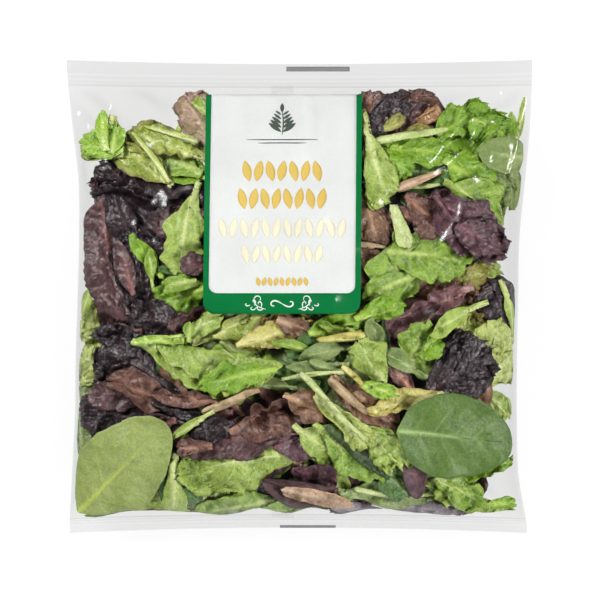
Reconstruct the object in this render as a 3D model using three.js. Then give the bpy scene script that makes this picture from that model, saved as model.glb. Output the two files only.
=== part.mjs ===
// A sealed pillow bag of salad leaves, lying on its back: one closed solid in the outer form of the
// full bag, with its two crimped end seals. Millimetres, +Z up, +Y towards the bag's top seal.
// The two panels of film are the two faces of a box whose grid is laid over the bag's own form.
import * as THREE from "three";

// Flat film, measured along and across the bag
const SEAL_LENGTH = 14; // each end seal, from its edge to its inner line
const SKIRT_LENGTH = 6.4; // plain film outside the crimped ribs
const TOP_EDGE_Y = 127.2;
const BOTTOM_EDGE_Y = -127.2;
const TOP_SEAL_PLAN = 13.9; // the seals seen from above: the top one lies nearly flat,
const BOTTOM_SEAL_PLAN = 8.4; // the bottom one curls down
const TOP_SEAL_DROP = 1.6;
const BOTTOM_SEAL_DROP = 11;
const DROP_POWER = 1.4; // above 1 the drop grows towards the outer edge
const SEAL_THICKNESS = 0.7;
const RIB_COUNT = 3;
const RIB_DEPTH = 0.45;

// The full bag
const FILL_THICKNESS = 55;
const SEAL_HEIGHT = 20; // of the seals' inner lines above the table
const BELLY_DEPTH = 28; // of the back panel below the seals, before the table flattens it
const FULLEST = 0.42; // share of the way from the bottom seal to the top one
const LOWER_FLATNESS = 2.4; // the bag stays full towards its bottom seal, then closes steeply
const LOWER_ROUNDNESS = 0.62;
const UPPER_FLATNESS = 2;
const FIRST_SWELL = 0.3; // fullness at which the rounding of the sides is complete
const LEAST_RISE = 0.45; // share of the smooth rise that slack film never falls below
const CLUMP_SWELL = 0.5; // swell below which the clumps' push dies away
const TABLE_SOFTNESS = 5;
const PANEL_FULLNESS = 0.8; // 1 is an ellipse across the bag, less is fuller at its sides

// How far each side edge stands from the middle, at even steps from the bottom edge to the top one
const LEFT_EDGE = [-123.6, -122.0, -120.4, -120.0, -119.0, -118.2, -118.6, -122.2, -125.0];
const RIGHT_EDGE = [122.5, 117.6, 116.7, 116.8, 117.4, 118.1, 121.2, 124.0, 125.0];
const TOP_BOW = 2.3; // the filling draws the middle of each end inwards
const BOTTOM_BOW = 3.0;
const BOW_REACH = 4;

// Slack film
const PLEAT_DEPTH = 1.5;
const PLEAT_SPACING = 23;
const PLEAT_PEAK = 11; // distance from the seal at which a pleat is deepest
const PLEAT_SHIFT = 1.7; // radians by which the pleats' spacing strays
const PLEAT_SHIFT_LENGTH = 19;
const CORNER_CREASE_DEPTH = 3.2;
const CORNER_CREASE_WIDTH = 6.5;
const CORNER_CREASE_PEAK = 24;
const SEAL_WAVE = 0.9; // up and down along a seal
const SEAL_WAVE_TURN = 3.1; // radians from the middle to a side
const SEAL_WAVE_PHASE = 0.8;
const BACK_SLACK = 0.6; // share of the front's slack that the back panel has

// Clumps of leaves that push the front panel out: height, wavelength, direction in degrees, phase
const CLUMPS = [
  [0.9, 71, 17, 0.4],
  [0.8, 52, 74, 2.1],
  [0.7, 43, 128, 4.0],
  [0.6, 31, 48, 1.2],
  [0.45, 24, 158, 5.2],
];

// Grid of each panel
const COLUMNS = 42;
const SKIRT_ROWS = 2;
const RIB_ROWS = 9;
const SEAL_ROWS = SKIRT_ROWS + RIB_ROWS;
const BODY_ROWS = 36;
const ROWS_DRAWN_OUT = 0.45; // rows lie closer at the seals, 0 spaces them evenly
const COLUMNS_DRAWN_OUT = 0.55; // columns lie closer at the round sides of the body
const ROWS = BODY_ROWS + 2 * SEAL_ROWS;

const LEAVES_COLOUR = 0x7f9a52;

const edgeCurve = (offsets) =>
  new THREE.SplineCurve(offsets.map((x, i) => new THREE.Vector2(x, i)));
const leftEdge = edgeCurve(LEFT_EDGE);
const rightEdge = edgeCurve(RIGHT_EDGE);
const bodyBottomY = BOTTOM_EDGE_Y + BOTTOM_SEAL_PLAN;
const bodyTopY = TOP_EDGE_Y - TOP_SEAL_PLAN;

// Where a row of the grid lies along the bag: the part of the bag it is in, its place there from 0
// to 1, its middle line in y and z, and its distance from the nearer seal's inner line.
function rowPlace(row) {
  const fromTop = ROWS - row;
  if (row < SEAL_ROWS) return sealPlace(sealShare(row), bodyBottomY, -1, BOTTOM_SEAL_PLAN, BOTTOM_SEAL_DROP);
  if (fromTop < SEAL_ROWS) return sealPlace(sealShare(fromTop), bodyTopY, 1, TOP_SEAL_PLAN, TOP_SEAL_DROP);
  const even = (row - SEAL_ROWS) / BODY_ROWS;
  const share = even - (Math.sin(2 * Math.PI * even) / (2 * Math.PI)) * ROWS_DRAWN_OUT;
  const y = THREE.MathUtils.lerp(bodyBottomY, bodyTopY, share);
  return { y, z: SEAL_HEIGHT, fullness: fullness(share), rib: 0, seal: Math.min(y - bodyBottomY, bodyTopY - y) };
}

// Share of a seal's length from its outer edge, for a row counted from that edge
function sealShare(rows) {
  const skirt = SKIRT_LENGTH / SEAL_LENGTH;
  if (rows <= SKIRT_ROWS) return (skirt * rows) / SKIRT_ROWS;
  return skirt + ((1 - skirt) * (rows - SKIRT_ROWS)) / RIB_ROWS;
}

function sealPlace(share, lineY, outwards, plan, drop) {
  const out = 1 - share;
  const skirt = SKIRT_LENGTH / SEAL_LENGTH;
  const crimped = Math.max(0, (share - skirt) / (1 - skirt));
  return {
    y: lineY + outwards * plan * out,
    z: SEAL_HEIGHT - drop * out ** DROP_POWER,
    fullness: 0,
    rib: RIB_DEPTH * Math.sin(Math.PI * RIB_COUNT * crimped) ** 2,
    seal: 0,
  };
}

// How full the bag is along its length, 1 where it is thickest and 0 at the seals
function fullness(share) {
  if (share < FULLEST) return (1 - ((FULLEST - share) / FULLEST) ** LOWER_FLATNESS) ** LOWER_ROUNDNESS;
  return 1 - ((share - FULLEST) / (1 - FULLEST)) ** UPPER_FLATNESS;
}

function clumps(x, y) {
  return CLUMPS.reduce((sum, [height, wavelength, degrees, phase]) => {
    const turn = THREE.MathUtils.degToRad(degrees);
    const along = x * Math.cos(turn) + y * Math.sin(turn);
    return sum + height * Math.sin((2 * Math.PI * along) / wavelength + phase);
  }, 0);
}

// Gathers that run into the bag from a seal
function pleats(x, distance) {
  const fade = (distance / PLEAT_PEAK) * Math.exp(1 - distance / PLEAT_PEAK);
  const shift = PLEAT_SHIFT * Math.sin(x / PLEAT_SHIFT_LENGTH);
  return PLEAT_DEPTH * fade * Math.sin((2 * Math.PI * x) / PLEAT_SPACING + shift);
}

// A dent that runs in from each corner of the body at 45 degrees
function cornerCreases(x, y, left, right) {
  let depth = 0;
  for (const [edge, inwards] of [[left, 1], [right, -1]])
    for (const [line, down] of [[bodyBottomY, 1], [bodyTopY, -1]]) {
      const across = (x - edge) * inwards;
      const along = (y - line) * down;
      const offLine = (across - along) / Math.SQRT2;
      const onLine = Math.max(0, (across + along) / Math.SQRT2) / CORNER_CREASE_PEAK;
      depth += Math.exp(-((offLine / CORNER_CREASE_WIDTH) ** 2)) * onLine * Math.exp(1 - onLine);
    }
  return CORNER_CREASE_DEPTH * depth;
}

// The table holds the back panel up: nothing goes below 0, with no sharp corner where it leaves it
function onTable(z) {
  return z <= 0 ? 0 : (z * z) / (z + TABLE_SOFTNESS);
}

// A point of the film: column across from 0 at the left edge, row along from 0 at the bottom edge
function filmPoint(column, row, isFront) {
  const place = rowPlace(row);
  const edgeShare = (place.y - BOTTOM_EDGE_Y) / (TOP_EDGE_Y - BOTTOM_EDGE_Y);
  const left = leftEdge.getPoint(edgeShare).x;
  const right = rightEdge.getPoint(edgeShare).x;
  const angle = Math.PI * (1 - column / COLUMNS);
  const even = (2 * column) / COLUMNS - 1;
  const bunching = COLUMNS_DRAWN_OUT * Math.min(1, place.fullness / FIRST_SWELL);
  const across = THREE.MathUtils.lerp(even, Math.cos(angle), bunching);
  const arch = (1 - across * across) ** (PANEL_FULLNESS / 2);
  const x = THREE.MathUtils.lerp(left, right, (across + 1) / 2);
  const bow = place.y > 0 ? -TOP_BOW : BOTTOM_BOW;
  const y = place.y + bow * (1 - across * across) * Math.abs(place.y / TOP_EDGE_Y) ** BOW_REACH;

  const swell = place.fullness * arch;
  const wave = SEAL_WAVE * Math.sin(SEAL_WAVE_TURN * across + SEAL_WAVE_PHASE) * (1 - place.fullness);
  const slack = swell > 0 ? pleats(x, place.seal) * arch - cornerCreases(x, place.y, left, right) * arch : 0;
  if (isFront) {
    const rise = (FILL_THICKNESS - SEAL_HEIGHT) * swell;
    const pushed = clumps(x, y) * Math.min(1, swell / CLUMP_SWELL) * Math.sqrt(swell);
    const lift = Math.max(rise * LEAST_RISE, rise + pushed + slack);
    return new THREE.Vector3(x, y, place.z + wave + SEAL_THICKNESS / 2 + lift + place.rib);
  }
  const sink = Math.max(0, BELLY_DEPTH * swell + slack * BACK_SLACK * (1 - swell));
  return new THREE.Vector3(x, y, onTable(place.z + wave - SEAL_THICKNESS / 2 - sink + place.rib));
}

function bagGeometry() {
  const geometry = new THREE.BoxGeometry(COLUMNS, ROWS, 2, COLUMNS, ROWS, 1);
  const position = geometry.attributes.position;
  for (let i = 0; i < position.count; i++) {
    const column = position.getX(i) + COLUMNS / 2;
    const row = position.getY(i) + ROWS / 2;
    const point = filmPoint(column, row, position.getZ(i) > 0);
    position.setXYZ(i, point.x, point.y, point.z);
  }
  geometry.computeBoundingBox();
  const { min, max } = geometry.boundingBox;
  geometry.translate(-(min.x + max.x) / 2, -(min.y + max.y) / 2, -min.z);
  geometry.computeVertexNormals();
  return geometry;
}

function makeBag() {
  const material = new THREE.MeshStandardMaterial({ color: LEAVES_COLOUR, roughness: 0.25, metalness: 0 });
  const bag = new THREE.Mesh(bagGeometry(), material);
  bag.name = "bag";
  return bag;
}

const root = new THREE.Group();
root.add(makeBag());

export default root;
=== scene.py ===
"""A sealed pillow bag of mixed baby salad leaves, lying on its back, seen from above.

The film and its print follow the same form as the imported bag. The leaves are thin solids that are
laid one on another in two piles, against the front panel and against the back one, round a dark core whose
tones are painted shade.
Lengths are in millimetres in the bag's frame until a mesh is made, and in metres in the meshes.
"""

import itertools
import math
from dataclasses import dataclass

import bpy
import numpy as np
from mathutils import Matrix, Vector


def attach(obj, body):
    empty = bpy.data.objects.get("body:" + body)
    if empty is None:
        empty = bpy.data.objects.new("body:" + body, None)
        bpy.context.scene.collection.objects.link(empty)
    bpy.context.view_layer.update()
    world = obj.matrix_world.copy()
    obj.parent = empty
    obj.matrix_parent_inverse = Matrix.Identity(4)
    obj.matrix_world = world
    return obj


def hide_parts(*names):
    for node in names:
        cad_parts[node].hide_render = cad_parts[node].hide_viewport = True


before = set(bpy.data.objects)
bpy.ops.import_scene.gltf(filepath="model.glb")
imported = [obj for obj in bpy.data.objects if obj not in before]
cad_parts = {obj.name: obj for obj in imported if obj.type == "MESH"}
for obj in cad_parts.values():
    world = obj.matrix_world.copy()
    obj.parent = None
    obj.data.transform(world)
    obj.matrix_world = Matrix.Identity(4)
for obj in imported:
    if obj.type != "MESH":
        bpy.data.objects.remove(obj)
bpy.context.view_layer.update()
MM = 0.001
rng = np.random.default_rng(20)

# The bag's form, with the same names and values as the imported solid's source
SEAL_LENGTH = 14.0
SKIRT_LENGTH = 6.4
TOP_EDGE_Y = 127.2
BOTTOM_EDGE_Y = -127.2
TOP_SEAL_PLAN = 13.9
BOTTOM_SEAL_PLAN = 8.4
TOP_SEAL_DROP = 1.6
BOTTOM_SEAL_DROP = 11.0
DROP_POWER = 1.4
RIB_COUNT = 3
RIB_DEPTH = 0.45
FILL_THICKNESS = 55.0
SEAL_HEIGHT = 20.0
BELLY_DEPTH = 28.0
FULLEST = 0.42
LOWER_FLATNESS = 2.4
LOWER_ROUNDNESS = 0.62
UPPER_FLATNESS = 2
FIRST_SWELL = 0.3
LEAST_RISE = 0.45
CLUMP_SWELL = 0.5
TABLE_SOFTNESS = 5.0
PANEL_FULLNESS = 0.8
LEFT_EDGE = [-123.6, -122.0, -120.4, -120.0, -119.0, -118.2, -118.6, -122.2, -125.0]
RIGHT_EDGE = [122.5, 117.6, 116.7, 116.8, 117.4, 118.1, 121.2, 124.0, 125.0]
TOP_BOW = 2.3
BOTTOM_BOW = 3.0
BOW_REACH = 4
PLEAT_DEPTH = 1.5
PLEAT_SPACING = 23.0
PLEAT_PEAK = 11.0
PLEAT_SHIFT = 1.7
PLEAT_SHIFT_LENGTH = 19
CORNER_CREASE_DEPTH = 3.2
CORNER_CREASE_WIDTH = 6.5
CORNER_CREASE_PEAK = 24.0
SEAL_WAVE = 0.9
SEAL_WAVE_TURN = 3.1
SEAL_WAVE_PHASE = 0.8
BACK_SLACK = 0.6
CLUMPS = [
    (0.9, 71, 17, 0.4),
    (0.8, 52, 74, 2.1),
    (0.7, 43, 128, 4.0),
    (0.6, 31, 48, 1.2),
    (0.45, 24, 158, 5.2),
]
# Creases of the slack film: from, to, depth and half width
CREASES = [
    ((-121, 112), (-62, 74), 1.1, 3.0),
    ((-122, 104), (-84, 62), 0.9, 2.4),
    ((121, 112), (76, 84), 1.1, 3.0),
    ((122, 106), (88, 70), 0.8, 2.4),
    ((-96, 110), (-40, 96), 0.7, 2.6),
    ((96, 110), (38, 98), 0.7, 2.6),
    ((60, -116), (104, -104), 0.9, 2.4),
    ((48, -108), (92, -116), 0.8, 2.2),
    ((112, -112), (86, -84), 0.9, 2.6),
    ((-112, -112), (-92, -86), 0.8, 2.6),
    ((-80, -112), (-40, -106), 0.6, 2.2),
    ((-116, 100), (-112, 36), 0.8, 1.8),
    ((117, 92), (110, 30), 0.8, 1.8),
    ((-88, 111), (-66, 92), 0.8, 2.0),
    ((84, 111), (66, 94), 0.7, 2.0),
    ((110, -78), (96, -112), 0.8, 2.0),
]
CREASE_SWAY = 1.5  # how far a crease strays from a straight line
CREASE_SWAY_LENGTH = 7
CREASE_START = 12  # the lengths over which it deepens and dies out
CREASE_END = 20
CREASE_GROWTH = 3  # the creases are whole where the film swells by a third
FILM_GAP = 0.3  # between the two layers of film in a seal
BODY_BOTTOM_Y = BOTTOM_EDGE_Y + BOTTOM_SEAL_PLAN
BODY_TOP_Y = TOP_EDGE_Y - TOP_SEAL_PLAN


def spline(values, share):
    """Catmull-Rom through evenly spaced values, share running from 0 to 1."""
    values = np.asarray(values, float)
    last = len(values) - 1
    place = np.clip(share, 0, 1) * last
    i = np.minimum(place.astype(int), last - 1)
    w = place - i
    p0 = values[np.maximum(i - 1, 0)]
    p1 = values[i]
    p2 = values[i + 1]
    p3 = values[np.minimum(i + 2, last)]
    v0 = (p2 - p0) / 2
    v1 = (p3 - p1) / 2
    return (
        (2 * p1 - 2 * p2 + v0 + v1) * w**3
        + (-3 * p1 + 3 * p2 - 2 * v0 - v1) * w**2
        + v0 * w
        + p1
    )


def side_edges(y):
    share = (y - BOTTOM_EDGE_Y) / (TOP_EDGE_Y - BOTTOM_EDGE_Y)
    return spline(LEFT_EDGE, share), spline(RIGHT_EDGE, share)


def fullness(y):
    """How full the bag is at y, 1 where it is thickest and 0 at the seals."""
    share = np.clip((y - BODY_BOTTOM_Y) / (BODY_TOP_Y - BODY_BOTTOM_Y), 0, 1)
    lower = np.clip((FULLEST - share) / FULLEST, 0, 1)
    upper = np.clip((share - FULLEST) / (1 - FULLEST), 0, 1)
    lower = (1 - lower**LOWER_FLATNESS) ** LOWER_ROUNDNESS
    return np.where(share < FULLEST, lower, 1 - upper**UPPER_FLATNESS)


def clumps(x, y):
    total = 0
    for height, wavelength, degrees, phase in CLUMPS:
        turn = math.radians(degrees)
        along = x * math.cos(turn) + y * math.sin(turn)
        total = total + height * np.sin(2 * math.pi * along / wavelength + phase)
    return total


def pleats(x, distance):
    fade = distance / PLEAT_PEAK * np.exp(1 - distance / PLEAT_PEAK)
    shift = PLEAT_SHIFT * np.sin(x / PLEAT_SHIFT_LENGTH)
    return PLEAT_DEPTH * fade * np.sin(2 * math.pi * x / PLEAT_SPACING + shift)


def corner_creases(x, y, left, right):
    depth = 0
    for edge, inwards in ((left, 1), (right, -1)):
        for line, down in ((BODY_BOTTOM_Y, 1), (BODY_TOP_Y, -1)):
            across = (x - edge) * inwards
            along = (y - line) * down
            off_line = (across - along) / math.sqrt(2)
            on_line = np.maximum(0, (across + along) / math.sqrt(2)) / CORNER_CREASE_PEAK
            ridge = np.exp(-((off_line / CORNER_CREASE_WIDTH) ** 2))
            depth = depth + ridge * on_line * np.exp(1 - on_line)
    return CORNER_CREASE_DEPTH * depth


def creases(x, y):
    """Long narrow folds of slack film, as a height."""
    total = 0
    for start, end, depth, width in CREASES:
        step = (end[0] - start[0], end[1] - start[1])
        length = math.hypot(*step)
        along = ((x - start[0]) * step[0] + (y - start[1]) * step[1]) / length
        off = ((x - start[0]) * step[1] - (y - start[1]) * step[0]) / length
        off = off + CREASE_SWAY * np.sin(along / CREASE_SWAY_LENGTH)
        fade = np.clip(along / CREASE_START, 0, 1) * np.clip((length - along) / CREASE_END, 0, 1)
        total = total + depth * fade * np.exp(-((off / width) ** 2))
    return total


def seal_height(y):
    """Height of the seals' middle line: level in the body, dropping towards each outer edge."""
    top_out = np.clip((y - BODY_TOP_Y) / TOP_SEAL_PLAN, 0, 1)
    bottom_out = np.clip((BODY_BOTTOM_Y - y) / BOTTOM_SEAL_PLAN, 0, 1)
    return SEAL_HEIGHT - TOP_SEAL_DROP * top_out**DROP_POWER - BOTTOM_SEAL_DROP * bottom_out**DROP_POWER


def seal_out(y):
    """How far out in a seal y is: 0 at its inner line and in the body, 1 at its outer edge."""
    above = np.clip((y - BODY_TOP_Y) / TOP_SEAL_PLAN, 0, 1)
    return above + np.clip((BODY_BOTTOM_Y - y) / BOTTOM_SEAL_PLAN, 0, 1)


def crimp(y):
    """The crimped ribs as a share of their height, between a seal's inner line and its plain skirt."""
    skirt = SKIRT_LENGTH / SEAL_LENGTH
    crimped = np.clip((1 - seal_out(y) - skirt) / (1 - skirt), 0, 1)
    return np.sin(math.pi * RIB_COUNT * crimped) ** 2


def bow(across, y):
    """How far the filling draws a point of the film inwards along the bag."""
    depth = np.where(y > 0, -TOP_BOW, BOTTOM_BOW)
    return depth * (1 - across**2) * np.abs(y / TOP_EDGE_Y) ** BOW_REACH


def panel_height(across, y, is_front):
    """Height of the front or back panel, across from -1 at the left edge to 1 at the right one.
    y is before the bow."""
    left, right = side_edges(y)
    x = left + (right - left) * (across + 1) / 2
    arch = np.maximum(0, 1 - across**2) ** (PANEL_FULLNESS / 2)
    full = fullness(y)
    swell = full * arch
    middle = seal_height(y) + SEAL_WAVE * np.sin(SEAL_WAVE_TURN * across + SEAL_WAVE_PHASE) * (1 - full)
    distance = np.maximum(0, np.minimum(y - BODY_BOTTOM_Y, BODY_TOP_Y - y))
    slack = np.where(swell > 0, (pleats(x, distance) - corner_creases(x, y, left, right)) * arch, 0)
    ribs = RIB_DEPTH * crimp(y)
    if is_front:
        rise = (FILL_THICKNESS - SEAL_HEIGHT) * swell
        pushed = clumps(x, y + bow(across, y)) * np.minimum(1, swell / CLUMP_SWELL) * np.sqrt(swell)
        slack = slack + creases(x, y) * np.minimum(1, CREASE_GROWTH * swell)
        return middle + FILM_GAP / 2 + np.maximum(rise * LEAST_RISE, rise + pushed + slack) + ribs
    sink = np.maximum(0, BELLY_DEPTH * swell + slack * BACK_SLACK * (1 - swell))
    height = middle - FILM_GAP / 2 - sink + ribs
    return np.where(height <= 0, 0, height**2 / (np.abs(height) + TABLE_SOFTNESS))


def panel_place(x, y):
    """(across, y before the bow) of a point of the bag seen from above."""
    left, right = side_edges(y)
    across = np.clip((x - left) / (right - left) * 2 - 1, -1, 1)
    before = y - bow(across, y)
    left, right = side_edges(before)
    return np.clip((x - left) / (right - left) * 2 - 1, -1, 1), before


def film_height(x, y, is_front=True):
    return panel_height(*panel_place(x, y), is_front)


# Mesh making
TINY = 1e-6


def grid_faces(rows, columns, start=0, turn=False):
    """Quads of a grid of points stored row by row."""
    i = np.arange(rows - 1)[:, None] * columns + np.arange(columns - 1)[None, :] + start
    quads = np.stack([i, i + 1, i + columns + 1, i + columns], axis=-1).reshape(-1, 4)
    return quads[:, ::-1] if turn else quads


def new_mesh(name, points, faces, attributes=None, smooth=True):
    """A mesh from points in mm and faces of three or four corners, with named attributes of its points."""
    mesh = bpy.data.meshes.new(name)
    points = np.asarray(points, np.float32).reshape(-1, 3) * MM
    faces = np.asarray(faces, np.int32)
    mesh.vertices.add(len(points))
    mesh.vertices.foreach_set("co", points.ravel())
    mesh.loops.add(faces.size)
    mesh.loops.foreach_set("vertex_index", faces.ravel())
    mesh.polygons.add(len(faces))
    mesh.polygons.foreach_set("loop_start", np.arange(0, faces.size, faces.shape[1], dtype=np.int32))
    mesh.update(calc_edges=True)
    mesh.polygons.foreach_set("use_smooth", np.full(len(faces), smooth))
    for key, values in (attributes or {}).items():
        values = np.asarray(values, np.float32)
        kind = "FLOAT" if values.ndim == 1 else "FLOAT_VECTOR"
        layer = mesh.attributes.new(key, kind, "POINT")
        layer.data.foreach_set("value" if kind == "FLOAT" else "vector", values.ravel())
    mesh.validate()
    made = bpy.data.objects.new(name, mesh)
    bpy.context.scene.collection.objects.link(made)
    return made


def sheet_solid(points, above, below, up):
    """Corners and triangles of a closed sheet about its middle surface, both faces split alike."""
    along = np.gradient(points, axis=0)
    across = np.gradient(points, axis=1)
    normal = np.cross(along, across)
    length = np.linalg.norm(normal, axis=-1, keepdims=True)
    normal = np.where(length > TINY, normal / np.maximum(length, TINY), (0, 0, 1)) * up
    top = points + normal * above[..., None]
    bottom = points - normal * below[..., None]
    rows, columns = points.shape[:2]
    count = rows * columns
    i = (np.arange(rows - 1)[:, None] * columns + np.arange(columns - 1)[None, :]).ravel()
    face = np.concatenate([
        np.stack([i, i + columns, i + columns + 1], axis=-1),
        np.stack([i, i + columns + 1, i + 1], axis=-1),
    ])
    rim = np.concatenate([
        np.arange(rows) * columns,
        (rows - 1) * columns + np.arange(1, columns),
        np.arange(rows - 2, -1, -1) * columns + columns - 1,
        np.arange(columns - 2, 0, -1),
    ])
    after = np.roll(rim, -1)
    sides = np.concatenate([
        np.stack([after, rim, rim + count], axis=-1),
        np.stack([after, rim + count, after + count], axis=-1),
    ])
    faces = np.concatenate([face, face[:, ::-1] + count, sides])
    if up < 0:
        faces = faces[:, ::-1]
    return np.concatenate([top.reshape(-1, 3), bottom.reshape(-1, 3)]), faces


def join_solids(solids):
    """Corners and triangles of many solids as those of one mesh."""
    starts = np.cumsum([0] + [len(corners) for corners, _ in solids])
    faces = [triangles + start for (_, triangles), start in zip(solids, starts)]
    return np.concatenate([corners for corners, _ in solids]), np.concatenate(faces)


# Film
FILM_COLUMNS = 120
SKIRT_ROWS = 4
RIB_ROWS = 19
BODY_ROWS = 104
ROWS_DRAWN_OUT = 0.6  # rows lie closer at the seals, 0 spaces them evenly
COLUMNS_DRAWN_OUT = 0.6
FIN_X = -9.0  # the middle of the lengthwise seal on the back
FIN_WIDTH = 12.0
FIN_ROOM = 0.35  # how far the back panel is held off the table there
FIN_ROOM_END = 4.0  # the width over which that dies away
FIN_THICKNESS = 0.12
FIN_COLUMNS = 15
FIN_ROWS = 120
FIN_RIB_DEPTH = 0.04
FIN_RIB_SPACING = 2.4
WELD_SHADE = 0.972  # share of the light that a layer lets through where it is welded
RIB_SHADE = 0.8  # share of what is lost there that the ribs let through
LINE_SHADE = 0.935  # along a seal's inner line
LINE_PLACE = 0.03  # shares of the seal's length
LINE_WIDTH = 0.05
PAINTED_CREASE_SHADE = 0.035  # painted shade: share of the light lost in a crease 1 mm deep
PAINTED_SIDE_SHADE = 0.12  # painted shade: share of the light lost at the bag's sides, where the film is looked along
SIDE_POWER = 14  # the higher, the nearer to the side


def seal_rows():
    """Shares of a seal's length, from its outer edge to its inner line."""
    skirt = SKIRT_LENGTH / SEAL_LENGTH
    plain = np.linspace(0, skirt, SKIRT_ROWS, endpoint=False)
    ribbed = np.linspace(skirt, 1, RIB_ROWS, endpoint=False)
    return np.concatenate([plain, ribbed])


def film_rows():
    lower = BOTTOM_EDGE_Y + BOTTOM_SEAL_PLAN * seal_rows()
    even = np.linspace(0, 1, BODY_ROWS)
    share = even - np.sin(2 * math.pi * even) / (2 * math.pi) * ROWS_DRAWN_OUT
    body = BODY_BOTTOM_Y + (BODY_TOP_Y - BODY_BOTTOM_Y) * share
    upper = TOP_EDGE_Y - TOP_SEAL_PLAN * seal_rows()[::-1]
    return np.concatenate([lower, body, upper])


def film_grid(is_front):
    y = film_rows()[:, None] * np.ones(FILM_COLUMNS)
    angle = np.linspace(math.pi, 0, FILM_COLUMNS)
    even = np.linspace(-1, 1, FILM_COLUMNS)[None, :]
    bunched = COLUMNS_DRAWN_OUT * np.minimum(1, fullness(y) / FIRST_SWELL)
    across = even + (np.cos(angle)[None, :] - even) * bunched
    left, right = side_edges(y)
    x = left + (right - left) * (across + 1) / 2
    z = panel_height(across, y, is_front)
    if not is_front:
        z = np.maximum(z, FIN_ROOM * np.clip((FIN_WIDTH - np.abs(x - FIN_X)) / FIN_ROOM_END, 0, 1))
    return np.stack([x, y + bow(across, y), z], axis=-1)


def film_shade(x, y):
    """How much of the light each layer lets through: less in the seals, and darker along the creases and at
    the sides, which is painted shade.
    """
    across, before = panel_place(x, y)
    # painted shade along the creases
    painted_crease = 1 - PAINTED_CREASE_SHADE * creases(x, y)
    # painted shade at the bag's sides, where the film is looked along
    side = 1 - PAINTED_SIDE_SHADE * fullness(before) * np.abs(across) ** SIDE_POWER
    return weld_shade(before) * painted_crease * side


def weld_shade(y):
    """The part of it for the seals, least along their inner lines."""
    out = seal_out(y)
    shade = np.where(out > 0, WELD_SHADE, 1.0)
    ridge = crimp(y) * (out > 0)
    shade = shade + (1 - WELD_SHADE) * RIB_SHADE * ridge
    line = np.exp(-((out - LINE_PLACE) / LINE_WIDTH) ** 2) * (out > 0)
    return shade * (1 - line) + LINE_SHADE * line


def make_fin():
    """The lengthwise seal, laid flat against the back panel."""
    across = np.linspace(-FIN_WIDTH / 2, FIN_WIDTH / 2, FIN_COLUMNS)
    x, y = np.meshgrid(across, np.linspace(BODY_BOTTOM_Y, BODY_TOP_Y, FIN_ROWS))
    x = x + FIN_X
    ribs = FIN_RIB_DEPTH * np.sin(2 * math.pi * (x - FIN_X) / FIN_RIB_SPACING)
    z = np.maximum(film_height(x, y, False), FIN_ROOM) - FIN_THICKNESS + ribs
    half = np.full(x.shape, FIN_THICKNESS / 2)
    corners, faces = sheet_solid(np.stack([x, y, z], axis=-1).transpose(1, 0, 2), half.T, half.T, 1)
    return new_mesh("back_seam", corners, faces, {"shade": np.ones(len(corners))})


def make_film():
    front = film_grid(True)
    back = film_grid(False)
    rows, columns = front.shape[:2]
    count = rows * columns
    faces = [grid_faces(rows, columns), grid_faces(rows, columns, count, turn=True)]
    rim = np.concatenate([
        np.arange(columns),
        np.arange(1, rows) * columns + columns - 1,
        (rows - 1) * columns + np.arange(columns - 2, -1, -1),
        np.arange(rows - 2, 0, -1) * columns,
    ])
    after = np.roll(rim, -1)
    faces.append(np.stack([after, rim, rim + count, after + count], axis=-1))
    shade = film_shade(front[..., 0], front[..., 1]).ravel()
    corners = np.concatenate([front.reshape(-1, 3), back.reshape(-1, 3)])
    return new_mesh("film", corners, np.concatenate(faces), {"shade": np.concatenate([shade, shade])})


# Materials
FILM_TINT = (0.93, 0.933, 0.929)
SEAM_TINT = (0.985, 0.987, 0.984)
FILM_ROUGHNESS = 0.1
FILM_HAZE = 0.008
FILM_GLOSS = (0.026, 0.55)  # looked at straight on, and looked along
FILM_GLOSS_POWER = 4.0  # the higher, the later the gloss grows
FINISHES = {  # roughness, strength of the fine relief, wetness, strength of the net of veins
    "crisp": (0.3, 0.9, 0.4, 0.5),
    "waxy": (0.38, 0.55, 0.2, 0.5),
    "smooth": (0.48, 0.4, 0.04, 0.22),
}
KIND_FINISH = {"spinach": "smooth", "narrow": "smooth", "stalk": "smooth", "chard": "waxy"}  # or else crisp
WET_ROUGHNESS = 0.1
LEAF_SHINE = 0.38
LEAF_GLOW = 0.16  # share of a leaf's light that comes through it
NET_TONE = 0.5  # how much of the rib's tone the net of veins has at its strongest
EDGE_TONE = 0.7  # how much of its own tone the margin has
GRAIN_RELIEF = 0.35
DOME_RELIEF = 0.5  # of the blade between the net's veins
# painted shade: the core's dark greens stand for the shadowed leaves deep in the heap
CORE_SHADE_TONES = ((38, 44, 28), (62, 74, 40))


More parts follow.
